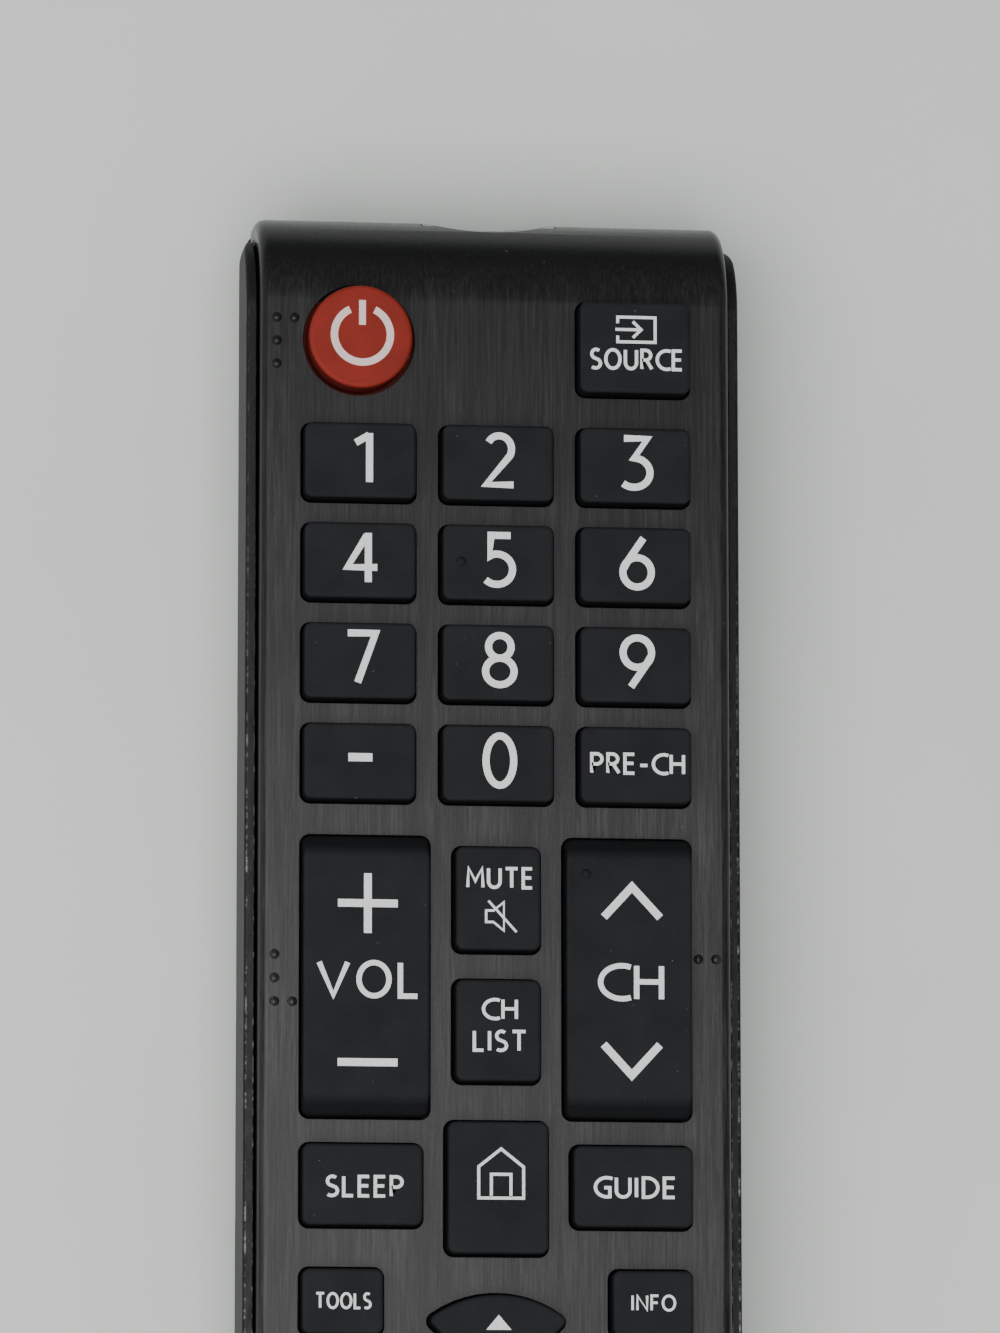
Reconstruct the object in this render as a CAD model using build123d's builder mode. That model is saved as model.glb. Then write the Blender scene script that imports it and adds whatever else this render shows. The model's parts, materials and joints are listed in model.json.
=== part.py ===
from build123d import *
import os
from math import atan, cos, degrees, radians, sin, sqrt

os.makedirs("parts", exist_ok=True)

# Hand-held infrared remote control, in millimetres.
# X is across the body, +Y points to the head end, +Z out of the key side.
# The origin is below the middle of the body, on the flat back.

# Body outline
body_length = 155.9
body_width = 43.6
body_corner = 3.5
flank_inset = 8.75
flank_height = 9.0
floor_wall = 1.5
flank_step = 0.8
rim_width = 0.93
rim_round = 0.3
rim_inner_round = 0.12
rim_drop = 2.0
end_setback = 0.4

# Cover plate that bends down over both ends
cover_gap = 0.17
cover_wall = 1.2
cover_edge_round = 0.9
head_bend = 8.5
tail_bend = 3.0
head_skirt_drop = 10.4
tail_skirt_drop = 6.0
side_skirt_gap = 0.1
end_joint_gap = 0.3
scallop_width = 10.7
scallop_depth = 0.6
scallop_tilt = 12.0

# Window for the infrared light in the head end
window_width = 12.0
window_height = 4.5
window_sill = 1.0
window_gap = 0.1
window_lip = 1.2
window_lip_thickness = 0.8

# Cells and their bay
cell_diameter = 10.5
cell_length = 44.5
cell_nose_diameter = 3.8
cell_nose_length = 1.0
cell_edge_round = 0.5
cell_gap = 0.3
cell_side_gap = 0.45
cell_floor_gap = 0.2
cell_roof_gap = 0.25
bay_wall = 1.3
bay_roof = 0.95
tail_room = 12.4
contact_thickness = 0.4
contact_gap = 0.05
contact_margin = 1.4
spring_length = 4.8
spring_wire = 0.5
spring_turns = 3
spring_wide_radius = 3.6
spring_narrow_radius = 2.2

# Battery door and its rails
door_gap = 0.2
door_margin = 0.9
door_head_margin = 2.4
rail_under_wall = 0.5
rail_reach = 1.1
rail_height = 0.75
rail_gap = 0.15
guide_wall = 1.2
guide_roof = 1.0
door_lip_height = 5.0
grip_width = 13.0
grip_length = 8.0
grip_depth = 0.5
grip_bars = 3
grip_bar_width = 0.9
grip_from_edge = 9.0

# Board, mat and key stack
board_width = 38.0
board_thickness = 1.0
board_head_gap = 6.0
board_tail_gap = 9.5
mat_thickness = 1.0
mat_inset = 0.5
key_travel = 0.75
travel_gap = 0.1
flange_thickness = 0.5
flange_gap = 0.05
flange_lip = 0.4
key_proud = 2.0
key_clearance = 0.25
power_clearance = 0.4
key_corner = 0.95
least_corner = 0.2
key_edge_round = 0.35
plunger_inset = 1.0
plunger_gap = 0.05
mat_hole_gap = 0.3

# Key field, given by the holes in the cover
field_margin = 3.5
column_land = 1.85
row_land = 1.69
digit_rows = 4
digit_hole_height = 7.13
power_hole_diameter = 9.9
source_from_head = 12.55
power_rise = 0.45
source_hole_height = 8.6
source_land = 2.64
rocker_hole_width = 11.5
rocker_hole_length = 24.8
rocker_land = 2.65
rocker_slope_length = 2.1
rocker_slope_drop = 0.9
rocker_tilt = 3.6
rocker_fulcrum_height = 0.6
rocker_fulcrum_width = 6.0
rocker_wing_length = 4.0
rocker_pill_length = 3.0
rocker_pill_from_end = 2.6
centre_hole_width = 7.9
mute_hole_height = 9.5
mute_from_rocker_top = 0.85
list_hole_height = 9.3
list_land = 2.07
home_hole_width = 9.25
home_hole_height = 11.9
home_land = 3.0
sleep_hole_width = 10.9
sleep_hole_height = 7.5
sleep_land = 1.95
enter_hole_radius = 4.3
ring_inner_radius = 5.5
ring_outer_radius = 9.9
ring_spoke = 1.4
ring_land = 5.4
ring_corner = 0.8
least_ring_corner = 0.3
corner_hole_width = 7.5
corner_hole_height = 6.1
corner_key_offset = 9.0
colour_hole_height = 4.2
colour_land = 4.85
colour_column_land = 1.35
playback_hole_height = 5.4
playback_land = 2.8
playback_row_land = 2.0

# Raised dots for reading by touch
dot_radius = 0.43
dot_height = 0.3
dot_pitch_x = 1.55
dot_pitch_y = 2.05
dot_column_from_edge = 1.4
dot_row_rise = 1.9
key_dot_from_middle = 3.3
rocker_dot_from_middle = 3.8
rocker_dot_from_slope = 1.3

# Screws and bosses
screw_diameter = 1.9
screw_head_diameter = 3.6
screw_head_height = 1.3
screw_bite = 3.0
screw_tip_gap = 0.4
screw_hole_gap = 0.05
screw_pass_gap = 0.3
screw_slot_length = 2.5
screw_slot_width = 0.6
screw_slot_depth = 0.6
boss_diameter = 4.8
boss_board_gap = 0.3
tail_screw_from_end = 6.5
shelf_thickness = 1.2
shelf_door_gap = 0.4

# Ribs under the board and snap tongues of the cover
rib_thickness = 1.2
rib_reach = 3.2
rib_pairs = 3
rib_pitch = 24.0
tongue_width = 5.0
tongue_drop = 2.2
hook_reach = 0.55
hook_height = 0.8
hook_gap = 0.2
tongue_pitch = 48.0

# Parts on the board
led_diameter = 5.0
led_length = 8.6
led_rim_diameter = 5.8
led_rim_thickness = 1.0
led_window_gap = 0.5
led_board_gap = 0.1
led_notch_gap = 0.5
lead_spacing = 2.54
lead_diameter = 0.5
lead_hole_gap = 0.2
lead_run = 2.6
lead_above_board = 0.5
chip_length = 12.8
chip_width = 7.5
chip_height = 2.2
chip_standoff = 0.15
chip_leads = 10
chip_lead_pitch = 1.27
chip_lead_width = 0.4
chip_lead_thickness = 0.25
chip_lead_reach = 1.3
chip_from_head = 34.0
resonator_length = 7.0
resonator_width = 3.2
resonator_height = 4.2
capacitor_diameter = 5.0
capacitor_length = 7.0
capacitor_gap = 0.05
transistor_width = 4.6
transistor_length = 4.6
transistor_height = 3.4
resistor_length = 3.2
resistor_width = 1.6
resistor_height = 0.55
resistor_count = 5
resistor_pitch = 3.4
component_pitch = 12.0
component_row_drop = 16.0

# Places worked out from the sizes above
half_length = body_length / 2
half_width = body_width / 2
case_half_length = half_length - end_setback
opening_half = half_width - rim_width
cover_half = opening_half - cover_gap

cell_z = floor_wall + cell_floor_gap + cell_diameter / 2
cell_x = (cell_diameter + cell_gap) / 2
roof_z = cell_z + cell_diameter / 2 + cell_roof_gap
board_z = roof_z + bay_roof
board_top = board_z + board_thickness
mat_top = board_top + mat_thickness
flange_bottom = mat_top + travel_gap + key_travel
flange_top = flange_bottom + flange_thickness
cover_under = flange_top + flange_gap
cover_top = cover_under + cover_wall
key_top = cover_top + key_proud
rim_top = cover_top - rim_drop
plunger_bottom = board_top + plunger_gap + key_travel

bay_half = cell_diameter + cell_gap / 2 + cell_side_gap
bay_outer = bay_half + bay_wall
bay_tail = -half_length + tail_room
bay_length = cell_length + spring_length + 2 * contact_thickness + 2 * contact_gap
bay_head = bay_tail + bay_length
door_half = bay_outer + door_margin
door_head = bay_head + door_head_margin
rail_half = door_half + rail_reach
rail_inner = bay_outer - rail_under_wall
rail_bottom = floor_wall + rail_gap
rail_top = rail_bottom + rail_height
guide_bottom = rail_top + door_gap
guide_half = rail_half + door_gap + guide_wall
door_tail_start = bay_tail - bay_wall - door_gap

board_head = half_length - board_head_gap
board_tail = -half_length + board_tail_gap

# The holes of the key field run in three columns between these edges.
field_half = cover_half - field_margin
digit_hole_width = (2 * field_half - 2 * column_land) / 3
column_x = field_half - digit_hole_width / 2
source_y = half_length - source_from_head
power_y = source_y + power_rise
digit_y = source_y - source_hole_height / 2 - source_land - digit_hole_height / 2
digit_pitch = digit_hole_height + row_land
last_digit_y = digit_y - (digit_rows - 1) * digit_pitch
rocker_top_y = last_digit_y - digit_hole_height / 2 - rocker_land
rocker_y = rocker_top_y - rocker_hole_length / 2
rocker_x = field_half - rocker_hole_width / 2
mute_y = rocker_top_y - mute_from_rocker_top - mute_hole_height / 2
list_y = mute_y - mute_hole_height / 2 - list_land - list_hole_height / 2
home_y = list_y - list_hole_height / 2 - home_land - home_hole_height / 2
sleep_y = rocker_y - rocker_hole_length / 2 - sleep_land - sleep_hole_height / 2
sleep_x = field_half - sleep_hole_width / 2
ring_y = sleep_y - sleep_hole_height / 2 - ring_land - ring_outer_radius
corner_x = field_half - corner_hole_width / 2
corner_bottom = ring_y - corner_key_offset - corner_hole_height / 2
colour_y = corner_bottom - colour_land - colour_hole_height / 2
colour_hole_width = (2 * field_half - 3 * colour_column_land) / 4
colour_pitch = colour_hole_width + colour_column_land
playback_y = colour_y - colour_hole_height / 2 - playback_land - playback_hole_height / 2
playback_pitch = playback_hole_height + playback_row_land

ring_bottom = ring_y - ring_outer_radius
bay_screw_y = (ring_bottom + colour_y + colour_hole_height / 2) / 2
tail_screw_y = -half_length + tail_screw_from_end
shelf_bottom = door_lip_height + shelf_door_gap
shelf_top = shelf_bottom + shelf_thickness

head_skirt_bottom = cover_top - head_skirt_drop
tail_skirt_bottom = cover_top - tail_skirt_drop
side_skirt_bottom = board_z + side_skirt_gap
head_bend_y = half_length - head_bend
head_bend_z = cover_top - head_bend
tail_bend_y = -half_length + tail_bend
window_bottom = head_skirt_bottom + window_sill

led_tip = half_length - cover_wall - window_gap - window_lip_thickness - led_window_gap
led_back = led_tip - led_length
led_z = board_z - led_board_gap - led_diameter / 2
lead_y = led_back - lead_run

rocker_axis_z = board_top + rocker_fulcrum_height
fulcrum_radius = rocker_fulcrum_height - plunger_gap
over = 1.0


# Sketch helpers

def facing_head(x, y, z):
    """Plane across the body whose normal points to the head end and whose up is +Z."""
    return Plane(origin=(x, y, z), x_dir=(-1, 0, 0), z_dir=(0, 1, 0))


def block(x_range, y_range, z_range, mode=Mode.ADD):
    """Square block between the given limits, in the part that is being built."""
    with BuildSketch(Plane.XY.offset(z_range[0])) as plan:
        with Locations(((x_range[0] + x_range[1]) / 2, (y_range[0] + y_range[1]) / 2)):
            Rectangle(x_range[1] - x_range[0], y_range[1] - y_range[0])
    extrude(plan.sketch, amount=z_range[1] - z_range[0], mode=mode)


def rounded_tub(length, width, corner, base_z, inset, flank, top_z, levels=8):
    """Solid with upright walls whose flanks turn in to a smaller flat bottom."""
    sections = []
    for level in range(levels + 1):
        turn = radians(90 * level / levels)
        shrink = inset * (1 - sin(turn))
        with BuildSketch(Plane.XY.offset(base_z + flank * (1 - cos(turn)))) as plan:
            RectangleRounded(width - 2 * shrink, length - 2 * shrink, corner)
        sections.append(plan.sketch)
    loft(sections)
    extrude(sections[-1], amount=top_z - base_z - flank)


def door_outline(grow):
    """Plan of the battery door: a wider part at the tail lets its rails slide out."""
    with Locations((0, (door_head + grow - half_length - over) / 2)):
        Rectangle(2 * (door_half + grow), door_head + grow + half_length + over)
    with Locations((0, (door_tail_start + grow - half_length - over) / 2)):
        Rectangle(2 * (rail_half + grow), door_tail_start + grow + half_length + over)


def dots(places, z):
    """Low round dots that stand on a face at height z."""
    ball = (dot_radius**2 + dot_height**2) / (2 * dot_height)
    with Locations([(x, y, z + dot_height - ball) for x, y in places]):
        Sphere(ball)


def soften(edges, radius):
    """Round edges, by less where the whole radius finds no room."""
    for share in (1, 0.8, 0.6, 0.4):
        try:
            return fillet(edges, radius=share * radius)
        except ValueError:
            continue


def rim_profile():
    """Side view of the case's outside: its rim stays below the cover round both bends."""
    head_arc = head_bend - rim_drop
    tail_arc = tail_bend - rim_drop
    low = -over
    with BuildLine(mode=Mode.PRIVATE) as side:
        Line((half_length + over, low), (half_length + over, head_bend_z))
        Line((half_length + over, head_bend_z), (head_bend_y + head_arc, head_bend_z))
        CenterArc((head_bend_y, head_bend_z), head_arc, 0, 90)
        Line((head_bend_y, rim_top), (tail_bend_y, rim_top))
        CenterArc((tail_bend_y, cover_top - tail_bend), tail_arc, 90, 90)
        Line(
            (tail_bend_y - tail_arc, cover_top - tail_bend),
            (-half_length - over, cover_top - tail_bend),
        )
        Line((-half_length - over, cover_top - tail_bend), (-half_length - over, low))
        Line((-half_length - over, low), (half_length + over, low))
    add(make_face(side.edges(), mode=Mode.PRIVATE))


# Each key is its name, the kind of its outline, the outline's sizes at the hole, its place
# and the clearance to its hole.

def key_list():
    """All keys that travel straight down."""
    width = digit_hole_width
    keys = [
        ("key_power", "round", (power_hole_diameter / 2,), (-column_x, power_y), power_clearance),
        ("key_source", "box", (width, source_hole_height), (column_x, source_y), key_clearance),
    ]
    digit_names = [
        ("key_1", "key_2", "key_3"),
        ("key_4", "key_5", "key_6"),
        ("key_7", "key_8", "key_9"),
        ("key_dash", "key_0", "key_previous_channel"),
    ]
    for row, names in enumerate(digit_names):
        for column, name in enumerate(names):
            place = ((column - 1) * column_x, digit_y - row * digit_pitch)
            keys.append((name, "box", (width, digit_hole_height), place, key_clearance))
    centre = centre_hole_width
    home = (home_hole_width, home_hole_height)
    sleep = (sleep_hole_width, sleep_hole_height)
    keys.append(("key_mute", "box", (centre, mute_hole_height), (0, mute_y), key_clearance))
    keys.append(("key_channel_list", "box", (centre, list_hole_height), (0, list_y), key_clearance))
    keys.append(("key_home", "box", home, (0, home_y), key_clearance))
    keys.append(("key_sleep", "box", sleep, (-sleep_x, sleep_y), key_clearance))
    keys.append(("key_guide", "box", sleep, (sleep_x, sleep_y), key_clearance))
    keys.append(("key_enter", "round", (enter_hole_radius,), (0, ring_y), key_clearance))
    for turn, name in enumerate(("key_up", "key_left", "key_down", "key_right")):
        keys.append((name, "sector", (90 * turn,), (0, ring_y), key_clearance))
    corner = (corner_hole_width, corner_hole_height)
    corner_names = {
        "key_tools": (-1, 1),
        "key_info": (1, 1),
        "key_return": (-1, -1),
        "key_exit": (1, -1),
    }
    for name, (side, end) in corner_names.items():
        place = (side * corner_x, ring_y + end * corner_key_offset)
        keys.append((name, "box", corner, place, key_clearance))
    colour = (colour_hole_width, colour_hole_height)
    for number, name in enumerate(("key_red", "key_green", "key_yellow", "key_blue")):
        place = ((number - 1.5) * colour_pitch, colour_y)
        keys.append((name, "box", colour, place, key_clearance))
    playback_names = [
        ("key_rewind", "key_pause", "key_forward"),
        ("key_record", "key_play", "key_stop"),
    ]
    for row, names in enumerate(playback_names):
        for column, name in enumerate(names):
            place = ((column - 1) * column_x, playback_y - row * playback_pitch)
            keys.append((name, "box", (width, playback_hole_height), place, key_clearance))
    return keys


def outline(kind, sizes, grow):
    """Outline of a key or of its hole, grown by an even margin, at the sketch's origin."""
    if kind == "box":
        width, height = sizes
        RectangleRounded(width + 2 * grow, height + 2 * grow, max(key_corner + grow, least_corner))
    elif kind == "round":
        Circle(sizes[0] + grow)
    else:
        sector(sizes[0], grow)


def sector(turn, grow):
    """Quarter of the direction ring, without half a spoke on each side."""
    apex = (ring_spoke / 2 - grow) * sqrt(2)
    reach = 2 * ring_outer_radius
    Circle(ring_outer_radius + grow)
    Circle(ring_inner_radius - grow, mode=Mode.SUBTRACT)
    with BuildLine(mode=Mode.PRIVATE) as wedge_line:
        Polyline((0, apex), (-reach, apex + reach), (reach, apex + reach), close=True)
    wedge = make_face(wedge_line.edges(), mode=Mode.PRIVATE)
    add(wedge, rotation=turn, mode=Mode.INTERSECT)
    fillet(vertices(), radius=max(ring_corner + grow, least_ring_corner))


def key_plane(place, z):
    """Level plane at a key's place."""
    return Plane(origin=(place[0], place[1], z))


def flat_underside():
    """The part of the cover's underside that is flat, where a flange may bear."""
    inner_half = cover_half - cover_wall - key_clearance
    low = tail_bend_y
    high = head_bend_y
    block(
        (-inner_half, inner_half),
        (low, high),
        (plunger_bottom - over, flange_top + over),
        mode=Mode.INTERSECT,
    )


def travelling_key(kind, sizes, place, clearance):
    """Rubber key: cap through its hole, flange under the cover, plunger over the board."""
    with BuildPart() as flange:
        with BuildSketch(key_plane(place, flange_bottom)):
            outline(kind, sizes, flange_lip)
        extrude(amount=flange_thickness)
        flat_underside()
    with BuildPart() as key:
        with BuildSketch(key_plane(place, flange_bottom)):
            outline(kind, sizes, -clearance)
        extrude(amount=key_top - flange_bottom)
        fillet(key.edges().group_by(Axis.Z)[-1], radius=key_edge_round)
        add(flange.part)
        with BuildSketch(key_plane(place, plunger_bottom)):
            outline(kind, sizes, -clearance - plunger_inset)
        extrude(amount=flange_bottom - plunger_bottom)
    return key.part


def rocker(x):
    """Rocker key that tips about a rounded fulcrum on the board."""
    width = rocker_hole_width - 2 * key_clearance
    length = rocker_hole_length - 2 * key_clearance
    flat = length / 2 - rocker_slope_length
    low = key_top - rocker_slope_drop
    wing_top = cover_under - flange_gap - rocker_wing_length / 2 * sin(radians(rocker_tilt))
    pill_y = length / 2 - rocker_pill_from_end - rocker_pill_length / 2
    with BuildPart() as key:
        with BuildSketch(key_plane((x, rocker_y), flange_bottom)):
            RectangleRounded(width, length, key_corner - key_clearance)
        extrude(amount=key_top - flange_bottom)
        with BuildSketch(Plane.YZ.offset(x)):
            with BuildLine():
                Polyline(
                    (rocker_y - length / 2 - over, flange_bottom),
                    (rocker_y - length / 2 - over, low),
                    (rocker_y - length / 2, low),
                    (rocker_y - flat, key_top),
                    (rocker_y + flat, key_top),
                    (rocker_y + length / 2, low),
                    (rocker_y + length / 2 + over, low),
                    (rocker_y + length / 2 + over, flange_bottom),
                    close=True,
                )
            make_face()
        extrude(amount=width, both=True, mode=Mode.INTERSECT)
        upper = key.edges().filter_by(lambda edge: edge.center().Z > cover_top)
        fillet(upper.filter_by(Plane.XZ, reverse=True), radius=key_edge_round)
        with BuildSketch(key_plane((x, rocker_y), wing_top - flange_thickness)):
            Rectangle(rocker_hole_width + 2 * flange_lip, rocker_wing_length)
        extrude(amount=flange_thickness)
        with BuildSketch(key_plane((x, rocker_y), plunger_bottom)):
            with Locations((0, pill_y), (0, -pill_y)):
                Rectangle(rocker_fulcrum_width, rocker_pill_length)
        extrude(amount=flange_bottom - plunger_bottom)
        block(
            (x - rocker_fulcrum_width / 2, x + rocker_fulcrum_width / 2),
            (rocker_y - fulcrum_radius, rocker_y + fulcrum_radius),
            (rocker_axis_z, flange_bottom),
        )
        with BuildSketch(Plane.YZ.offset(x - rocker_fulcrum_width / 2)):
            with Locations((rocker_y, rocker_axis_z)):
                Circle(fulcrum_radius)
        extrude(amount=rocker_fulcrum_width)
    return key


all_keys = key_list()
rocker_places = {"rocker_volume": -rocker_x, "rocker_channel": rocker_x}

# Bottom case

with BuildPart() as case_outside:
    rounded_tub(
        2 * case_half_length, body_width, body_corner, 0, flank_inset, flank_height, rim_top
    )
    with BuildSketch(Plane.YZ):
        rim_profile()
    extrude(amount=body_width, both=True, mode=Mode.INTERSECT)
    rim_edges = case_outside.edges().filter_by(lambda edge: edge.center().Z > flank_height + over)
    soften(rim_edges.filter_by(lambda edge: abs(edge.center().X) > cover_half), rim_round)

with BuildPart() as case_cavity:
    rounded_tub(
        2 * (case_half_length - rim_width),
        2 * opening_half,
        body_corner - rim_width,
        floor_wall,
        flank_inset - flank_step,
        flank_height - floor_wall,
        rim_top + over,
    )

with BuildPart() as case_ribs:
    for pair in range(rib_pairs):
        for end in (-1, 1):
            rib_y = end * (pair + 0.5) * rib_pitch
            for side in (-1, 1):
                near = side * (opening_half - rib_reach)
                far = side * half_width
                block(
                    (min(near, far), max(near, far)),
                    (rib_y - rib_thickness / 2, rib_y + rib_thickness / 2),
                    (0, board_z),
                )
    block(
        (-half_width, half_width),
        (-half_length, bay_tail - bay_wall + over),
        (shelf_bottom, shelf_top),
    )
    for side in (-1, 1):
        near = side * (rail_half + door_gap)
        far = side * guide_half
        block(
            (min(near, far), max(near, far)),
            (bay_tail - bay_wall, door_head + door_gap + guide_wall),
            (floor_wall / 2, guide_bottom + guide_roof),
        )
    add(case_outside.part, mode=Mode.INTERSECT)

with BuildPart() as bottom_case:
    add(case_outside.part)
    add(case_cavity.part, mode=Mode.SUBTRACT)
    # The cover's bent ends close the case above these two walls.
    block(
        (-opening_half, opening_half),
        (head_bend_y, half_length + over),
        (head_skirt_bottom - end_joint_gap, rim_top + over),
        mode=Mode.SUBTRACT,
    )
    block(
        (-opening_half, opening_half),
        (-half_length - over, -case_half_length + body_corner),
        (tail_skirt_bottom - end_joint_gap, rim_top + over),
        mode=Mode.SUBTRACT,
    )
    inner_edges = bottom_case.edges().filter_by(
        lambda edge: abs(abs(edge.center().X) - opening_half) < rim_inner_round
        and edge.center().Z > rim_top - rim_inner_round
    )
    soften(inner_edges, rim_inner_round)
    add(case_ribs.part)
    with BuildSketch(Plane.XY.offset(-over)):
        door_outline(door_gap)
    extrude(amount=over + guide_bottom, mode=Mode.SUBTRACT)
    with BuildSketch(Plane.XY.offset(-over)):
        with Locations((0, (door_tail_start + door_gap - half_length - over) / 2)):
            Rectangle(
                2 * (rail_half + door_gap),
                door_tail_start + door_gap + half_length + over,
            )
    extrude(amount=over + door_lip_height + door_gap, mode=Mode.SUBTRACT)
    # Roof and walls of the battery bay, and the strips that hold the door's rails down.
    block(
        (-bay_outer, bay_outer),
        (bay_tail - bay_wall, bay_head + bay_wall),
        (guide_bottom, board_z),
    )
    block(
        (-bay_half, bay_half),
        (bay_tail, bay_head),
        (guide_bottom - over, roof_z),
        mode=Mode.SUBTRACT,
    )
    for side in (-1, 1):
        near = side * (bay_outer - bay_wall / 2)
        far = side * guide_half
        block(
            (min(near, far), max(near, far)),
            (bay_tail - bay_wall, door_head + door_gap + guide_wall),
            (guide_bottom, guide_bottom + guide_roof),
        )
    block(
        (-guide_half, guide_half),
        (bay_head + bay_wall / 2, door_head + door_gap + guide_wall),
        (guide_bottom, guide_bottom + guide_roof),
    )
    block(
        (-guide_half, guide_half),
        (door_head + door_gap, door_head + door_gap + guide_wall),
        (floor_wall / 2, guide_bottom + guide_roof),
    )
    # Recesses for the cover's hooks
    for end in (-1, 0, 1):
        for side in (-1, 1):
            near = side * (opening_half - over)
            far = side * (cover_half + hook_reach + hook_gap)
            block(
                (min(near, far), max(near, far)),
                (
                    end * tongue_pitch - tongue_width / 2 - cover_gap,
                    end * tongue_pitch + tongue_width / 2 + cover_gap,
                ),
                (
                    side_skirt_bottom - tongue_drop - cover_gap,
                    side_skirt_bottom - tongue_drop + hook_height + cover_gap,
                ),
                mode=Mode.SUBTRACT,
            )
    with Locations((0, bay_screw_y, board_z), (0, tail_screw_y, shelf_top)):
        Hole(radius=screw_diameter / 2 + screw_pass_gap, depth=shelf_thickness + over)
bottom_case.part.label = "bottom_case"
export_step(bottom_case.part, "parts/bottom_case.step")

# Battery door

with BuildPart() as battery_door:
    add(case_outside.part)
    add(case_cavity.part, mode=Mode.SUBTRACT)
    with BuildSketch(Plane.XY.offset(-over)):
        door_outline(0)
    extrude(amount=over + door_lip_height, mode=Mode.INTERSECT)
    for side in (-1, 1):
        inner = side * rail_inner
        middle = side * door_half
        outer = side * rail_half
        block(
            (min(inner, middle), max(inner, middle)),
            (door_tail_start - over, door_head),
            (floor_wall / 2, rail_top),
        )
        block(
            (min(inner, outer), max(inner, outer)),
            (door_tail_start - over, door_head),
            (rail_bottom, rail_top),
        )
    with BuildSketch(Plane.XY):
        with Locations((0, door_head - grip_from_edge)):
            RectangleRounded(grip_width, grip_length, key_corner)
    extrude(amount=grip_depth, mode=Mode.SUBTRACT)
    grip_pitch = grip_length / (grip_bars + 1)
    with BuildSketch(Plane.XY):
        with Locations((0, door_head - grip_from_edge)):
            with GridLocations(0, grip_pitch, 1, grip_bars):
                Rectangle(grip_width, grip_bar_width)
    extrude(amount=grip_depth)
battery_door.part.label = "battery_door"
export_step(battery_door.part, "parts/battery_door.step")

# Top cover

with BuildPart() as cover_shell:
    with BuildSketch(Plane.YZ):
        with BuildLine():
            Line((half_length, head_skirt_bottom), (half_length, head_bend_z))
            CenterArc((head_bend_y, head_bend_z), head_bend, 0, 90)
            Line((head_bend_y, cover_top), (tail_bend_y, cover_top))
            CenterArc((tail_bend_y, cover_top - tail_bend), tail_bend, 90, 90)
            Line((-half_length, cover_top - tail_bend), (-half_length, head_skirt_bottom))
            Line((-half_length, head_skirt_bottom), (half_length, head_skirt_bottom))
        make_face()
    extrude(amount=cover_half, both=True)
    side_edges = cover_shell.faces().filter_by(Axis.X).edges()
    fillet(
        side_edges.filter_by(lambda edge: edge.center().Z > head_skirt_bottom + over),
        radius=cover_edge_round,
    )
    with BuildSketch(Plane.YZ):
        with BuildLine():
            Line(
                (half_length - cover_wall, head_skirt_bottom - over),
                (half_length - cover_wall, head_bend_z),
            )
            CenterArc((head_bend_y, head_bend_z), head_bend - cover_wall, 0, 90)
            Line((head_bend_y, cover_under), (tail_bend_y, cover_under))
            CenterArc((tail_bend_y, cover_top - tail_bend), tail_bend - cover_wall, 90, 90)
            Line(
                (-half_length + cover_wall, cover_top - tail_bend),
                (-half_length + cover_wall, head_skirt_bottom - over),
            )
            Line(
                (-half_length + cover_wall, head_skirt_bottom - over),
                (half_length - cover_wall, head_skirt_bottom - over),
            )
        make_face()
    extrude(amount=cover_half - cover_wall, both=True, mode=Mode.SUBTRACT)
    block(
        (-half_width, half_width),
        (-half_length - over, -half_length + cover_wall),
        (head_skirt_bottom - over, tail_skirt_bottom),
        mode=Mode.SUBTRACT,
    )
    block(
        (-half_width, half_width),
        (-half_length + cover_wall, head_bend_y),
        (head_skirt_bottom - over, side_skirt_bottom),
        mode=Mode.SUBTRACT,
    )
    # Shallow dip across the middle of the head end, leaning with the bend
    scallop_radius = ((scallop_width / 2) ** 2 + scallop_depth**2) / (2 * scallop_depth)
    lean = radians(scallop_tilt)
    dip_plane = Plane(
        origin=(0, head_bend_y + head_bend * cos(lean), head_bend_z + head_bend * sin(lean)),
        x_dir=(1, 0, 0),
        z_dir=(0, -sin(lean), cos(lean)),
    )
    with BuildSketch(dip_plane):
        with Locations((0, scallop_radius - scallop_depth)):
            Circle(scallop_radius)
    extrude(amount=cover_top, both=True, mode=Mode.SUBTRACT)

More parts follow.
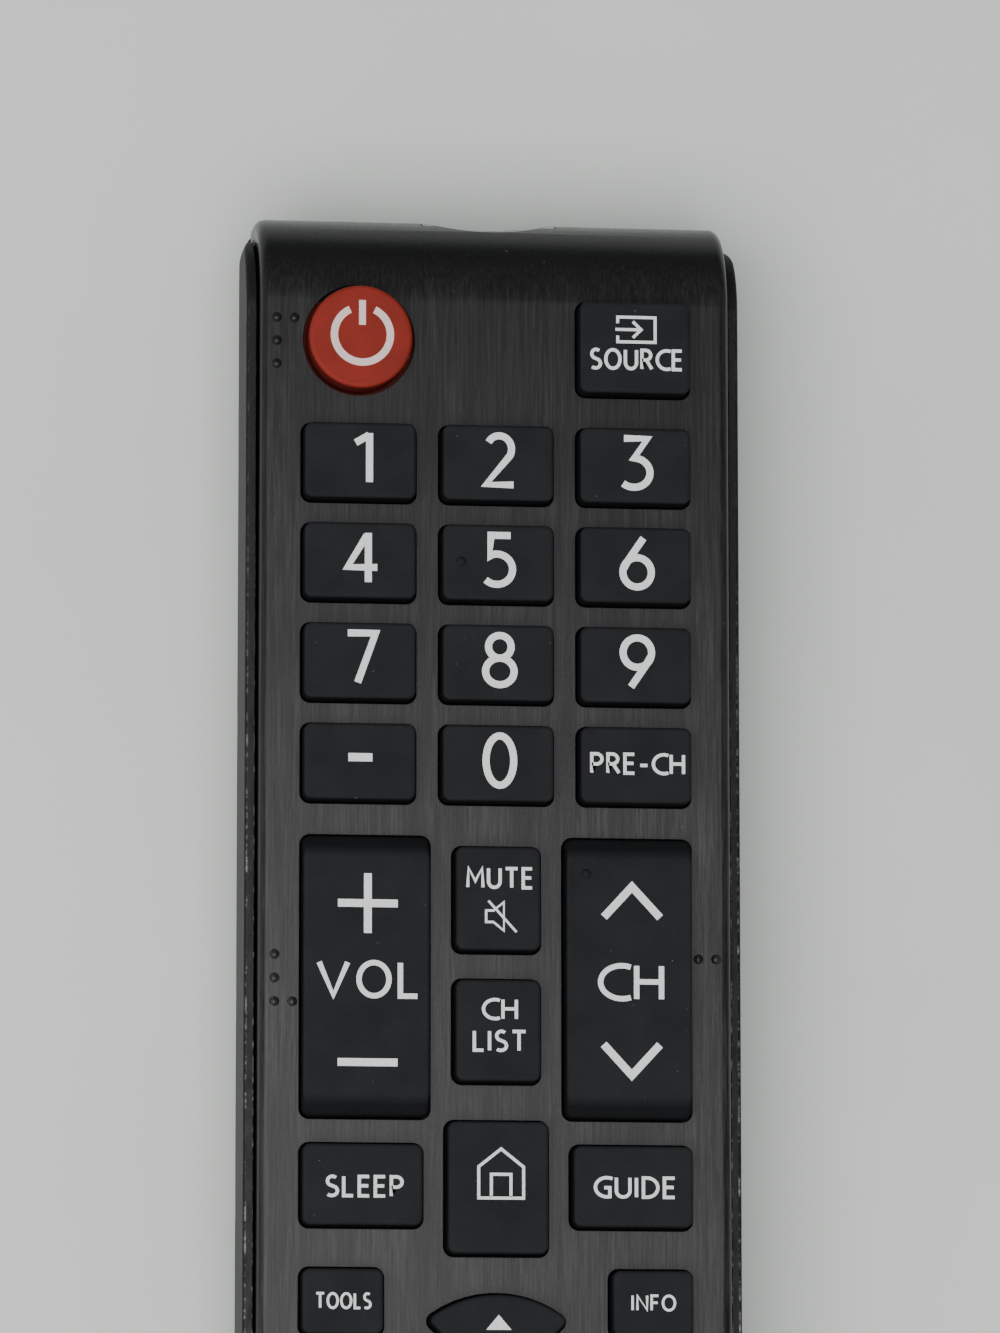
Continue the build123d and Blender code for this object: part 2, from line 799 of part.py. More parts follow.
with BuildPart() as top_cover:
    add(cover_shell.part)
    # Window opening in the head end
    block(
        (-window_width / 2, window_width / 2),
        (head_bend_y, half_length + over),
        (window_bottom, window_bottom + window_height),
        mode=Mode.SUBTRACT,
    )
    # Bosses that take the two screws
    with BuildSketch(Plane.XY.offset(board_top)):
        with Locations((0, bay_screw_y)):
            Circle(boss_diameter / 2)
    extrude(amount=cover_under + cover_wall / 2 - board_top)
    with BuildSketch(Plane.XY.offset(shelf_top)):
        with Locations((0, tail_screw_y)):
            Circle(boss_diameter / 2)
    extrude(amount=cover_under + cover_wall / 2 - shelf_top)
    # Snap tongues with hooks
    for end in (-1, 0, 1):
        tongue_y = (
            end * tongue_pitch - tongue_width / 2,
            end * tongue_pitch + tongue_width / 2,
        )
        tongue_bottom = side_skirt_bottom - tongue_drop
        for side in (-1, 1):
            inner = side * (cover_half - cover_wall)
            outer = side * cover_half
            tip = side * (cover_half + hook_reach)
            block(
                (min(inner, outer), max(inner, outer)),
                tongue_y,
                (tongue_bottom, side_skirt_bottom + over),
            )
            block(
                (min(inner, tip), max(inner, tip)),
                tongue_y,
                (tongue_bottom, tongue_bottom + hook_height),
            )
    # Screw holes
    with BuildSketch(Plane.XY.offset(board_top)):
        with Locations((0, bay_screw_y)):
            Circle(screw_diameter / 2 + screw_hole_gap)
    extrude(amount=cover_under - board_top, mode=Mode.SUBTRACT)
    with BuildSketch(Plane.XY.offset(shelf_top)):
        with Locations((0, tail_screw_y)):
            Circle(screw_diameter / 2 + screw_hole_gap)
    extrude(amount=screw_bite + screw_tip_gap, mode=Mode.SUBTRACT)
    # Key holes
    for name, kind, sizes, place, clearance in all_keys:
        with BuildSketch(key_plane(place, cover_under - head_bend)):
            outline(kind, sizes, 0)
        extrude(amount=head_bend + cover_wall + over, mode=Mode.SUBTRACT)
    for place_x in rocker_places.values():
        with BuildSketch(key_plane((place_x, rocker_y), cover_under - over)):
            RectangleRounded(rocker_hole_width, rocker_hole_length, key_corner)
        extrude(amount=over + cover_wall + over, mode=Mode.SUBTRACT)
    # Reading dots beside the power key and beside each rocker
    edge_x = cover_half - dot_column_from_edge
    power_dot_y = power_y + dot_row_rise
    rocker_dot_y = rocker_y + dot_row_rise
    dots(
        [
            (-edge_x, power_dot_y),
            (-edge_x + dot_pitch_x, power_dot_y),
            (-edge_x, power_dot_y - dot_pitch_y),
            (-edge_x, power_dot_y - 2 * dot_pitch_y),
            (-edge_x, rocker_dot_y),
            (-edge_x, rocker_dot_y - dot_pitch_y),
            (-edge_x, rocker_dot_y - 2 * dot_pitch_y),
            (-edge_x + dot_pitch_x, rocker_dot_y - 2 * dot_pitch_y),
            (edge_x, rocker_dot_y),
            (edge_x - dot_pitch_x, rocker_dot_y),
        ],
        cover_top,
    )
top_cover.part.label = "top_cover"
export_step(top_cover.part, "parts/top_cover.step")

with BuildPart() as ir_window:
    add(cover_shell.part)
    block(
        (-window_width / 2 + window_gap, window_width / 2 - window_gap),
        (head_bend_y, half_length + over),
        (window_bottom + window_gap, window_bottom + window_height - window_gap),
        mode=Mode.INTERSECT,
    )
    lip_back = half_length - cover_wall - window_gap - window_lip_thickness
    lip_top = min(head_bend_z, window_bottom + window_height - window_gap)
    block(
        (-window_width / 2 + window_gap, window_width / 2 - window_gap),
        (lip_back, half_length - cover_wall + window_gap),
        (window_bottom + window_gap, lip_top),
    )
    block(
        (-window_width / 2 - window_lip, window_width / 2 + window_lip),
        (lip_back, half_length - cover_wall - window_gap),
        (window_bottom - window_sill / 2, lip_top),
    )
ir_window.part.label = "ir_window"
export_step(ir_window.part, "parts/ir_window.step")

# Keys

for name, kind, sizes, place, clearance in all_keys:
    with BuildPart() as key:
        add(travelling_key(kind, sizes, place, clearance))
        if name == "key_5":
            dots([(place[0] - key_dot_from_middle, place[1])], key_top)
    key.part.label = name
    export_step(key.part, f"parts/{name}.step")

for name, place_x in rocker_places.items():
    with BuildPart() as key:
        add(rocker(place_x).part)
        if name == "rocker_channel":
            dot_y = rocker_y + rocker_hole_length / 2 - rocker_slope_length
            dot_y -= rocker_dot_from_slope
            dots([(place_x - rocker_dot_from_middle, dot_y)], key_top)
    key.part.label = name
    export_step(key.part, f"parts/{name}.step")

# Mat and board

with BuildPart() as keypad_mat:
    block(
        (-board_width / 2 + mat_inset, board_width / 2 - mat_inset),
        (board_tail + mat_inset, board_head - mat_inset),
        (board_top, mat_top),
    )
    for name, kind, sizes, place, clearance in all_keys:
        with BuildSketch(key_plane(place, board_top)):
            outline(kind, sizes, mat_hole_gap - clearance - plunger_inset)
        extrude(amount=mat_thickness, mode=Mode.SUBTRACT)
    pill_room = 2 * (rocker_pill_from_end - mat_hole_gap - key_clearance)
    with BuildSketch(Plane.XY.offset(board_top)):
        with Locations((-rocker_x, rocker_y), (rocker_x, rocker_y)):
            Rectangle(
                rocker_fulcrum_width + 2 * mat_hole_gap,
                rocker_hole_length - pill_room,
            )
    extrude(amount=mat_thickness, mode=Mode.SUBTRACT)
    with BuildSketch(Plane.XY.offset(board_top)):
        with Locations((0, bay_screw_y)):
            Circle(boss_diameter / 2 + boss_board_gap)
        with Locations((0, lead_y)):
            Rectangle(2 * lead_spacing, lead_spacing)
    extrude(amount=mat_thickness, mode=Mode.SUBTRACT)
keypad_mat.part.label = "keypad_mat"
export_step(keypad_mat.part, "parts/keypad_mat.step")

with BuildPart() as circuit_board:
    block(
        (-board_width / 2, board_width / 2),
        (board_tail, board_head),
        (board_z, board_top),
    )
    block(
        (-led_rim_diameter / 2 - led_notch_gap, led_rim_diameter / 2 + led_notch_gap),
        (led_back - led_notch_gap, board_head + over),
        (board_z - over, board_top + over),
        mode=Mode.SUBTRACT,
    )
    with Locations((0, bay_screw_y, board_top)):
        Hole(radius=screw_diameter / 2 + screw_pass_gap, depth=board_thickness)
    with Locations(
        (-lead_spacing / 2, lead_y, board_top),
        (lead_spacing / 2, lead_y, board_top),
    ):
        Hole(radius=lead_diameter / 2 + lead_hole_gap, depth=board_thickness)
circuit_board.part.label = "circuit_board"
export_step(circuit_board.part, "parts/circuit_board.step")

# Infrared light

with BuildPart() as ir_led:
    barrel = led_length - led_diameter / 2
    with BuildSketch(facing_head(0, led_back, led_z)):
        Circle(led_diameter / 2)
    extrude(amount=barrel)
    with Locations((0, led_back + barrel, led_z)):
        Sphere(led_diameter / 2)
    with BuildSketch(facing_head(0, led_back, led_z)):
        Circle(led_rim_diameter / 2)
    extrude(amount=led_rim_thickness)
    for side in (-1, 1):
        lead_x = side * lead_spacing / 2
        with BuildSketch(facing_head(lead_x, lead_y, led_z)):
            Circle(lead_diameter / 2)
        extrude(amount=led_back - lead_y + over)
        with BuildSketch(key_plane((lead_x, lead_y), led_z)):
            Circle(lead_diameter / 2)
        extrude(amount=board_top + lead_above_board - led_z)
        with Locations((lead_x, lead_y, led_z)):
            Sphere(lead_diameter / 2)
ir_led.part.label = "ir_led"
export_step(ir_led.part, "parts/ir_led.step")

# Cells and contacts

head_contact_y = bay_head - contact_thickness
tail_contact_y = bay_tail + contact_thickness
cell_body = cell_length - cell_nose_length

with BuildPart() as battery_left:
    with BuildSketch(facing_head(-cell_x, head_contact_y - contact_gap - cell_length, cell_z)):
        Circle(cell_diameter / 2)
    extrude(amount=cell_body)
    fillet(battery_left.edges(), radius=cell_edge_round)
    with BuildSketch(
        facing_head(-cell_x, head_contact_y - contact_gap - cell_nose_length - over, cell_z)
    ):
        Circle(cell_nose_diameter / 2)
    extrude(amount=cell_nose_length + over)
battery_left.part.label = "battery_left"
export_step(battery_left.part, "parts/battery_left.step")

with BuildPart() as battery_right:
    with BuildSketch(
        facing_head(cell_x, tail_contact_y + contact_gap + cell_nose_length, cell_z)
    ):
        Circle(cell_diameter / 2)
    extrude(amount=cell_body)
    fillet(battery_right.edges(), radius=cell_edge_round)
    with BuildSketch(facing_head(cell_x, tail_contact_y + contact_gap, cell_z)):
        Circle(cell_nose_diameter / 2)
    extrude(amount=cell_nose_length + over)
battery_right.part.label = "battery_right"
export_step(battery_right.part, "parts/battery_right.step")

plate_half = cell_diameter / 2 - contact_margin
with BuildPart() as contact_plates:
    for side in (-1, 1):
        block(
            (side * cell_x - plate_half, side * cell_x + plate_half),
            (head_contact_y, bay_head),
            (cell_z - plate_half, roof_z - contact_gap),
        )
    block(
        (-cell_x - plate_half, cell_x + plate_half),
        (bay_tail, tail_contact_y),
        (cell_z - plate_half, cell_z + plate_half),
    )
contact_plates.part.label = "contact_plates"
export_step(contact_plates.part, "parts/contact_plates.step")


def contact_spring(x, seat_y, heading):
    """Cone of wire that narrows from its seat towards the cell."""
    climb = spring_length - spring_wire - 2 * contact_gap
    slope = degrees(atan((spring_wide_radius - spring_narrow_radius) / climb))
    first = seat_y + heading * (spring_wire / 2 + contact_gap)
    with BuildPart() as spring:
        with BuildLine() as path:
            Helix(
                pitch=climb / spring_turns,
                height=climb,
                radius=spring_wide_radius,
                center=(x, first, cell_z),
                direction=(0, heading, 0),
                cone_angle=-slope,
            )
        with BuildSketch(Plane(origin=path.line @ 0, z_dir=path.line % 0)):
            Circle(spring_wire / 2)
        sweep(path=path.line, is_frenet=True)
    return spring.part


with BuildPart() as contact_springs:
    add(contact_spring(-cell_x, tail_contact_y, 1))
    add(contact_spring(cell_x, head_contact_y, -1))
contact_springs.part.label = "contact_springs"
export_step(contact_springs.part, "parts/contact_springs.step")

# Parts on the underside of the board

chip_y = half_length - chip_from_head
chip_top = board_z - chip_standoff
with BuildPart() as controller_chip:
    block(
        (-chip_length / 2, chip_length / 2),
        (chip_y - chip_width / 2, chip_y + chip_width / 2),
        (chip_top - chip_height, chip_top),
    )
    for number in range(chip_leads):
        lead_x = (number - (chip_leads - 1) / 2) * chip_lead_pitch
        lead_range = (lead_x - chip_lead_width / 2, lead_x + chip_lead_width / 2)
        for side in (-1, 1):
            edge = chip_y + side * chip_width / 2
            shoulder = edge + side * chip_lead_reach / 2
            foot = edge + side * chip_lead_reach
            lead_low = chip_top - chip_height / 2
            block(
                lead_range,
                (min(edge, shoulder), max(edge, shoulder)),
                (lead_low - chip_lead_thickness, lead_low),
            )
            riser = shoulder - side * chip_lead_thickness
            block(
                lead_range,
                (min(riser, shoulder), max(riser, shoulder)),
                (lead_low - chip_lead_thickness, board_z),
            )
            block(
                lead_range,
                (min(riser, foot), max(riser, foot)),
                (board_z - chip_lead_thickness, board_z),
            )
controller_chip.part.label = "controller_chip"
export_step(controller_chip.part, "parts/controller_chip.step")

component_y = chip_y - component_row_drop
with BuildPart() as ceramic_resonator:
    with BuildSketch(key_plane((-component_pitch, component_y), board_z - resonator_height)):
        SlotOverall(resonator_length, resonator_width)
    extrude(amount=resonator_height)
ceramic_resonator.part.label = "ceramic_resonator"
export_step(ceramic_resonator.part, "parts/ceramic_resonator.step")

with BuildPart() as capacitor:
    capacitor_z = board_z - capacitor_gap - capacitor_diameter / 2
    with BuildSketch(facing_head(component_pitch, component_y - capacitor_length / 2, capacitor_z)):
        Circle(capacitor_diameter / 2)
    extrude(amount=capacitor_length)
    fillet(capacitor.edges(), radius=cell_edge_round)
capacitor.part.label = "capacitor"
export_step(capacitor.part, "parts/capacitor.step")

with BuildPart() as transistor:
    with BuildSketch(key_plane((0, component_y), board_z - transistor_length)):
        Circle(transistor_width / 2)
        with Locations((0, transistor_height)):
            Rectangle(2 * transistor_width, transistor_width, mode=Mode.SUBTRACT)
    extrude(amount=transistor_length)
transistor.part.label = "transistor"
export_step(transistor.part, "parts/transistor.step")

with BuildPart() as resistors:
    with BuildSketch(Plane.XY.offset(board_z - resistor_height)):
        with Locations((0, chip_y + component_row_drop - resistor_length)):
            with GridLocations(resistor_pitch, 0, resistor_count, 1):
                Rectangle(resistor_width, resistor_length)
    extrude(amount=resistor_height)
resistors.part.label = "resistors"
export_step(resistors.part, "parts/resistors.step")

# Screws

bay_screw_length = cover_under - screw_tip_gap - roof_z
tail_screw_length = shelf_thickness + screw_bite
with BuildPart() as case_screws:
    for screw_y, seat, length in (
        (bay_screw_y, roof_z, bay_screw_length),
        (tail_screw_y, shelf_bottom, tail_screw_length),
    ):
        with BuildSketch(key_plane((0, screw_y), seat - screw_head_height)):
            Circle(screw_head_diameter / 2)
        extrude(amount=screw_head_height)
        with BuildSketch(key_plane((0, screw_y), seat)):
            Circle(screw_diameter / 2)
        extrude(amount=length)
        with BuildSketch(key_plane((0, screw_y), seat - screw_head_height)):
            Rectangle(screw_slot_length, screw_slot_width)
            Rectangle(screw_slot_width, screw_slot_length)
        extrude(amount=screw_slot_depth, mode=Mode.SUBTRACT)
case_screws.part.label = "case_screws"
export_step(case_screws.part, "parts/case_screws.step")
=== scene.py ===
import json
from math import cos, pi, radians, sin

import bmesh
import bpy
from bpy.props import BoolProperty, FloatProperty, FloatVectorProperty, PointerProperty
from mathutils import Euler, Matrix, Vector

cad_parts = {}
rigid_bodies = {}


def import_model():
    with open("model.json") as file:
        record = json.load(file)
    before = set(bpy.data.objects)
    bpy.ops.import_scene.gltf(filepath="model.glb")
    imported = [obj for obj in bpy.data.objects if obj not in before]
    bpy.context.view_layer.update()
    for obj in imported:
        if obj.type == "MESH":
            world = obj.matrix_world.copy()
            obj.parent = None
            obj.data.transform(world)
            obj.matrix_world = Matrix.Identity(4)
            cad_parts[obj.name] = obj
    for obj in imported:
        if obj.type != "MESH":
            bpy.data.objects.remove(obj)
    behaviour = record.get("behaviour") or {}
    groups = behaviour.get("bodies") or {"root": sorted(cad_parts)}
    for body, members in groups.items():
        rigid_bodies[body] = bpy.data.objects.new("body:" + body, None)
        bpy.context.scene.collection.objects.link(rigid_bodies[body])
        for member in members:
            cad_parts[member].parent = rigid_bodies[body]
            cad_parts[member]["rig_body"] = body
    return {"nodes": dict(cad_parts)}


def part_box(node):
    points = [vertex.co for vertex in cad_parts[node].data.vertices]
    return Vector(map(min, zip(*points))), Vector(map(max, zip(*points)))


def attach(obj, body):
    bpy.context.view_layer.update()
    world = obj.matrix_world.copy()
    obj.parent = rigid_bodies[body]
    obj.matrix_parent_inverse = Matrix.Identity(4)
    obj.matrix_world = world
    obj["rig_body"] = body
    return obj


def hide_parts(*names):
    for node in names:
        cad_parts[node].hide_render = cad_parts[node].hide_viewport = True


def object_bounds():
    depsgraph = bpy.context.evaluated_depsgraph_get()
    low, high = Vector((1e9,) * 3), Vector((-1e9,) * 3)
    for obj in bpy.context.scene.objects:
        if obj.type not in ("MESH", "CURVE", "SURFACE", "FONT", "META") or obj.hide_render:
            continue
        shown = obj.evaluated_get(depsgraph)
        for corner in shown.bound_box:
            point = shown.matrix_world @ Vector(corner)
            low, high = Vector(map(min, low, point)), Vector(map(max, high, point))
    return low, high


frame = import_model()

bl_info = {
    "name": "Remote control finish",
    "version": (1, 0, 0),
    "blender": (4, 5, 0),
    "location": "3D View > Sidebar > Remote",
    "description": "Dresses a slim remote control: shells, rubber keys, printed legends and stage",
    "category": "Object",
}

MM = 0.001
HAIR = 0.0012 * MM
CAD_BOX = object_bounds()
NODES = frame["nodes"]

# Where the parts lie, read from the frame
KEY_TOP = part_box("key_1")[1].z
CASE_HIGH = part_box("bottom_case")[1]
COVER_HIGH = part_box("top_cover")[1]
WINDOW_LOW, WINDOW_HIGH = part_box("ir_window")

PLAIN_KEYS = [
    "key_source", "key_1", "key_2", "key_3", "key_4", "key_5", "key_6", "key_7", "key_8",
    "key_9", "key_dash", "key_0", "key_previous_channel", "key_mute", "key_channel_list",
    "key_home", "key_sleep", "key_guide", "key_enter", "key_up", "key_left", "key_down",
    "key_right", "key_tools", "key_info", "key_return", "key_exit", "key_rewind",
    "key_pause", "key_forward", "key_record", "key_play", "key_stop",
]
COLOUR_KEYS = {"key_red": "A", "key_green": "B", "key_yellow": "C", "key_blue": "D"}
ROCKERS = ["rocker_volume", "rocker_channel"]

# Tints of lint and of the painted glints on the rim, in linear light
LINT = (0.16, 0.16, 0.16)
RUBBER_LINT = (0.16, 0.17, 0.17)
RIM_GLINT_TINT = (0.42, 0.40, 0.41)

# Viewpoint and lights: places and sizes in metres, turns in degrees, lens in millimetres
CAMERA_PLACE = (-0.08293, -0.06253, 0.700)
CAMERA_TURN = (8.26, -6.96, -0.02)
FOCAL_LENGTH = 286.4
SENSOR_WIDTH = 36.0
OVERHEAD_PLACE = (-0.275, -0.22, 0.80)
OVERHEAD_SIZE = (0.85, 0.77)
LEFT_PLACE = (-0.95, 0.0, 0.35)
LEFT_SIZE = (0.5, 0.3)
SKY_TINT = (0.93, 0.97, 1.0, 1.0)
DIM_HEADING = (0.5, 0.86, 0.0)
FLOOR_REACH = 1.5


def length(name, description, millimetres):
    """A size that a user may change, in metres."""
    return FloatProperty(
        name=name,
        description=description,
        default=millimetres * MM,
        min=0.0,
        precision=5,
        unit="LENGTH",
        subtype="DISTANCE",
    )


def colour(name, description, red, green, blue):
    """A colour that a user may change, in linear light."""
    return FloatVectorProperty(
        name=name,
        description=description,
        default=(red, green, blue),
        min=0.0,
        max=1.0,
        size=3,
        subtype="COLOR",
    )


class RemoteSizes(bpy.types.PropertyGroup):
    """Sizes of the printed legends and of the finish on the shells."""

    ink_rise: length("Ink rise", "How far the print stands above the key", 0.02)
    ink_root: length("Ink root", "How far the print reaches into the key", 0.02)
    digit_height: length("Digit height", "Height of the digits", 4.95)
    digit_stroke: length("Digit stroke", "Line width of the digits", 0.62)
    word_stroke: length("Word stroke", "Line width of the small words", 0.29)
    rocker_word_stroke: length("Rocker word stroke", "Line width of the rockers' words", 0.47)
    word_height: length("Word height", "Height of the small words", 1.95)
    rocker_word_height: length("Rocker word height", "Height of the rockers' words", 3.35)
    sign_stroke: length("Sign stroke", "Line width of the large signs", 0.68)
    icon_stroke: length("Icon stroke", "Line width of the small pictograms", 0.26)
    streak_width: length("Streak width", "Width of one streak of the brushed film", 0.24)
    streak_length: length("Streak length", "Length of one streak of the brushed film", 9.0)
    grain: length("Grain", "Size of the moulded grain on the case", 0.12)


class RemoteColours(bpy.types.PropertyGroup):
    """Colours of the surfaces."""

    case: colour("Case", "Matte moulded case", 0.0125, 0.0125, 0.0135)
    film_dark: colour("Film, dark", "Dark streaks of the cover's film", 0.0075, 0.0075, 0.0080)
    # Part of the light streaks' tint is painted reflection, standing for the film's sheen.
    film_light: colour("Film, light", "Light streaks of the cover's film", 0.058, 0.0555, 0.0555)
    rubber: colour("Rubber", "Black keys", 0.0160, 0.0170, 0.0190)
    power: colour("Power key", "Red rubber of the power key", 0.238, 0.0195, 0.0115)
    red: colour("Red key", "Rubber of the red key", 0.32, 0.022, 0.018)
    green: colour("Green key", "Rubber of the green key", 0.025, 0.17, 0.05)
    yellow: colour("Yellow key", "Rubber of the yellow key", 0.52, 0.36, 0.03)
    blue: colour("Blue key", "Rubber of the blue key", 0.025, 0.07, 0.32)
    ink: colour("Ink", "White print on the keys", 0.90, 0.90, 0.91)
    window: colour("Window", "Dark window in the head end", 0.012, 0.004, 0.007)
    floor: colour("Floor", "Pale surface under the remote", 0.80, 0.83, 0.785)


class RemoteStage(bpy.types.PropertyGroup):
    """Light and viewpoint."""

    key_power: FloatProperty(
        name="Main light",
        description="Power of the large light overhead",
        default=8.0,
        min=0.0,
        unit="POWER",
    )
    fill_power: FloatProperty(
        name="Fill light",
        description="Power of the low light from the left",
        default=0.3,
        min=0.0,
        unit="POWER",
    )
    sky: FloatProperty(
        name="Room light",
        description="Strength of the even light from all round",
        default=0.40,
        min=0.0,
    )
    show_floor: BoolProperty(
        name="Floor",
        description="Lay the pale surface under the remote",
        default=True,
    )


# Materials

def new_material(name, tint, roughness, specular=0.5):
    """Material with one principled shader, and its node tree."""
    material = bpy.data.materials.new(name)
    material.use_nodes = True
    material.diffuse_color = (*tint, 1.0)
    shader = material.node_tree.nodes["Principled BSDF"]
    shader.inputs["Base Color"].default_value = (*tint, 1.0)
    shader.inputs["Roughness"].default_value = roughness
    shader.inputs["Specular IOR Level"].default_value = specular
    return material, material.node_tree, shader


def object_point(tree, stretch=(1.0, 1.0, 1.0)):
    """Place on the object in metres, multiplied along each axis."""
    place = tree.nodes.new("ShaderNodeTexCoord")
    mapping = tree.nodes.new("ShaderNodeMapping")
    mapping.inputs["Scale"].default_value = stretch
    tree.links.new(place.outputs["Object"], mapping.inputs["Vector"])
    return mapping.outputs["Vector"]


def noise(tree, point, scale, detail=3.0, rough=0.55):
    """Cloudy pattern between 0 and 1."""
    node = tree.nodes.new("ShaderNodeTexNoise")
    node.inputs["Scale"].default_value = scale
    node.inputs["Detail"].default_value = detail
    node.inputs["Roughness"].default_value = rough
    tree.links.new(point, node.inputs["Vector"])
    return node.outputs["Fac"]


def spread(tree, value, low, high, to_low=0.0, to_high=1.0):
    """Value taken from one range to another and held inside it."""
    node = tree.nodes.new("ShaderNodeMapRange")
    node.inputs["From Min"].default_value = low
    node.inputs["From Max"].default_value = high
    node.inputs["To Min"].default_value = to_low
    node.inputs["To Max"].default_value = to_high
    tree.links.new(value, node.inputs["Value"])
    return node.outputs["Result"]


def product(tree, first, second):
    """Two values multiplied."""
    node = tree.nodes.new("ShaderNodeMath")
    node.operation = "MULTIPLY"
    tree.links.new(first, node.inputs[0])
    tree.links.new(second, node.inputs[1])
    return node.outputs["Value"]


def mix_tints(tree, share, first, second):
    """Colour between two, each a fixed colour or the output of another node."""
    node = tree.nodes.new("ShaderNodeMix")
    node.data_type = "RGBA"
    sockets = [s for s in node.inputs if s.enabled and s.type == "RGBA"]
    for socket, tint in zip(sockets, (first, second)):
        if isinstance(tint, bpy.types.NodeSocket):
            tree.links.new(tint, socket)
        else:
            socket.default_value = (*tint, 1.0)
    tree.links.new(share, node.inputs["Factor"])
    return [s for s in node.outputs if s.enabled][0]


def band(tree, value, middle, half):
    """One at the middle of a narrow band, and nothing outside it."""
    rise = spread(tree, value, middle - half, middle)
    fall = spread(tree, value, middle, middle + half, 1.0, 0.0)
    return product(tree, rise, fall)


def axis_value(tree, axis):
    """One coordinate of the place on the object, in metres."""
    split = tree.nodes.new("ShaderNodeSeparateXYZ")
    tree.links.new(object_point(tree), split.inputs["Vector"])
    return split.outputs[axis]


def emboss(tree, shader, height, depth, strength=1.0):
    """Fine relief of the given depth in metres."""
    node = tree.nodes.new("ShaderNodeBump")
    node.inputs["Distance"].default_value = depth
    node.inputs["Strength"].default_value = strength
    tree.links.new(height, node.inputs["Height"])
    tree.links.new(node.outputs["Normal"], shader.inputs["Normal"])


def paint(tree, shader, socket, value):
    """Drive one input of the shader."""
    tree.links.new(value, shader.inputs[socket])


def lighter(tint, factor):
    """Tint made lighter or darker by a factor."""
    return tuple(min(1.0, part * factor) for part in tint)


def dust(tree, base, tint, amount):
    """Rare pale specks of lint over a colour."""
    specks = noise(tree, object_point(tree), 2600.0, 2.0, 0.4)
    share = spread(tree, specks, 0.765, 0.80, 0.0, amount)
    return mix_tints(tree, share, base, tint)


def rubber_material(name, tint, roughness=0.78, specular=0.14, wall=0.3):
    """Matte silicone with a fine skin and a little lint. The walls get painted shade, so the face
    is paler than the walls.
    """
    material, tree, shader = new_material(name, tint, roughness, specular)
    point = object_point(tree)
    blotches = spread(tree, noise(tree, point, 260.0, 4.0), 0.3, 0.7)
    face = mix_tints(tree, blotches, lighter(tint, 0.86), lighter(tint, 1.16))
    # Painted shade: below the face the walls take a darker tint, set by the wall factor, for the
    # shade that falls between the keys and the cover.
    wall_top = KEY_TOP - 0.5 * MM
    face_edge = KEY_TOP - 0.12 * MM
    wall_shade_fade = spread(tree, axis_value(tree, "Z"), wall_top, face_edge)
    base = mix_tints(tree, wall_shade_fade, lighter(tint, wall), face)
    paint(tree, shader, "Base Color", dust(tree, base, RUBBER_LINT, 0.6))
    skin = noise(tree, point, 5200.0, 2.0)
    gloss = spread(tree, skin, 0.3, 0.7, roughness - 0.06, roughness + 0.08)
    paint(tree, shader, "Roughness", gloss)
    emboss(tree, shader, skin, 0.012 * MM)
    return material


def film_material(colours, sizes):
    """Black film with fine streaks along the body, which fade out on the bends as painted shade,
    and are stronger towards the tail as a painted reflection of the overhead light.
    """
    material, tree, shader = new_material("brushed_film", colours.film_dark, 0.26, 0.27)
    across = 1.0 / sizes.streak_width
    along = 1.0 / sizes.streak_length
    fine = noise(tree, object_point(tree, (across, along, across)), 1.0, 6.0, 0.8)
    coarse = noise(tree, object_point(tree, (across / 8, along / 2, across / 8)), 1.0, 4.0, 0.7)
    lines = spread(tree, fine, 0.41, 0.60)
    patches = spread(tree, coarse, 0.32, 0.68, 0.25, 1.0)
    streaks = product(tree, lines, patches)
    # Painted shade: the streaks fade out where the cover bends away from the light.
    bend_low = COVER_HIGH.z - 1.6 * MM
    bend_high = COVER_HIGH.z - 0.3 * MM
    flat = spread(tree, axis_value(tree, "Z"), bend_low, bend_high)
    # Painted reflection: the light streaks are full towards the tail and weaker towards the head,
    # for the overhead light's reflection on the film.
    tail_sheen_start = 24.0 * MM
    tail_sheen_end = 62.0 * MM
    lower = spread(tree, axis_value(tree, "Y"), tail_sheen_start, tail_sheen_end, 1.0, 0.42)
    share = product(tree, product(tree, streaks, lower), flat)
    # The pale streak tint carries part of the film's reflection as painted sheen, on top of the
    # real brushed streaks.
    shades = mix_tints(tree, share, colours.film_dark, colours.film_light)
    paint(tree, shader, "Base Color", dust(tree, shades, LINT, 0.5))
    paint(tree, shader, "Roughness", spread(tree, fine, 0.25, 0.75, 0.20, 0.34))
    emboss(tree, shader, fine, 0.006 * MM)
    return material


def case_material(colours, sizes):
    """Fine matte moulding, with a glossy rim whose two edges carry painted highlights: broken pale
    lines that stand for glints.
    """
    material, tree, shader = new_material("moulded_case", colours.case, 0.5, 0.15)
    point = object_point(tree)
    grain = noise(tree, point, 1.0 / sizes.grain, 3.0)
    cloud = spread(tree, noise(tree, point, 130.0, 3.0), 0.3, 0.7)
    base = mix_tints(tree, cloud, lighter(colours.case, 0.85), lighter(colours.case, 1.2))
    dusty = dust(tree, base, LINT, 0.4)
    # Painted highlights: pale broken lines on the rim's two edges stand for glints.
    wear = worn_edges(tree)
    paint(tree, shader, "Base Color", mix_tints(tree, wear, dusty, RIM_GLINT_TINT))
    rim_low = CASE_HIGH.z - 0.45 * MM
    rim_high = CASE_HIGH.z - 0.05 * MM
    rim = spread(tree, axis_value(tree, "Z"), rim_low, rim_high)
    broken = noise(tree, object_point(tree, (1500.0, 420.0, 1500.0)), 1.0, 3.0, 0.7)
    gloss = product(tree, rim, spread(tree, broken, 0.35, 0.62, 0.2, 1.0))
    paint(tree, shader, "Roughness", spread(tree, gloss, 0.0, 1.0, 0.52, 0.16))
    emboss(tree, shader, grain, 0.014 * MM)
    return material


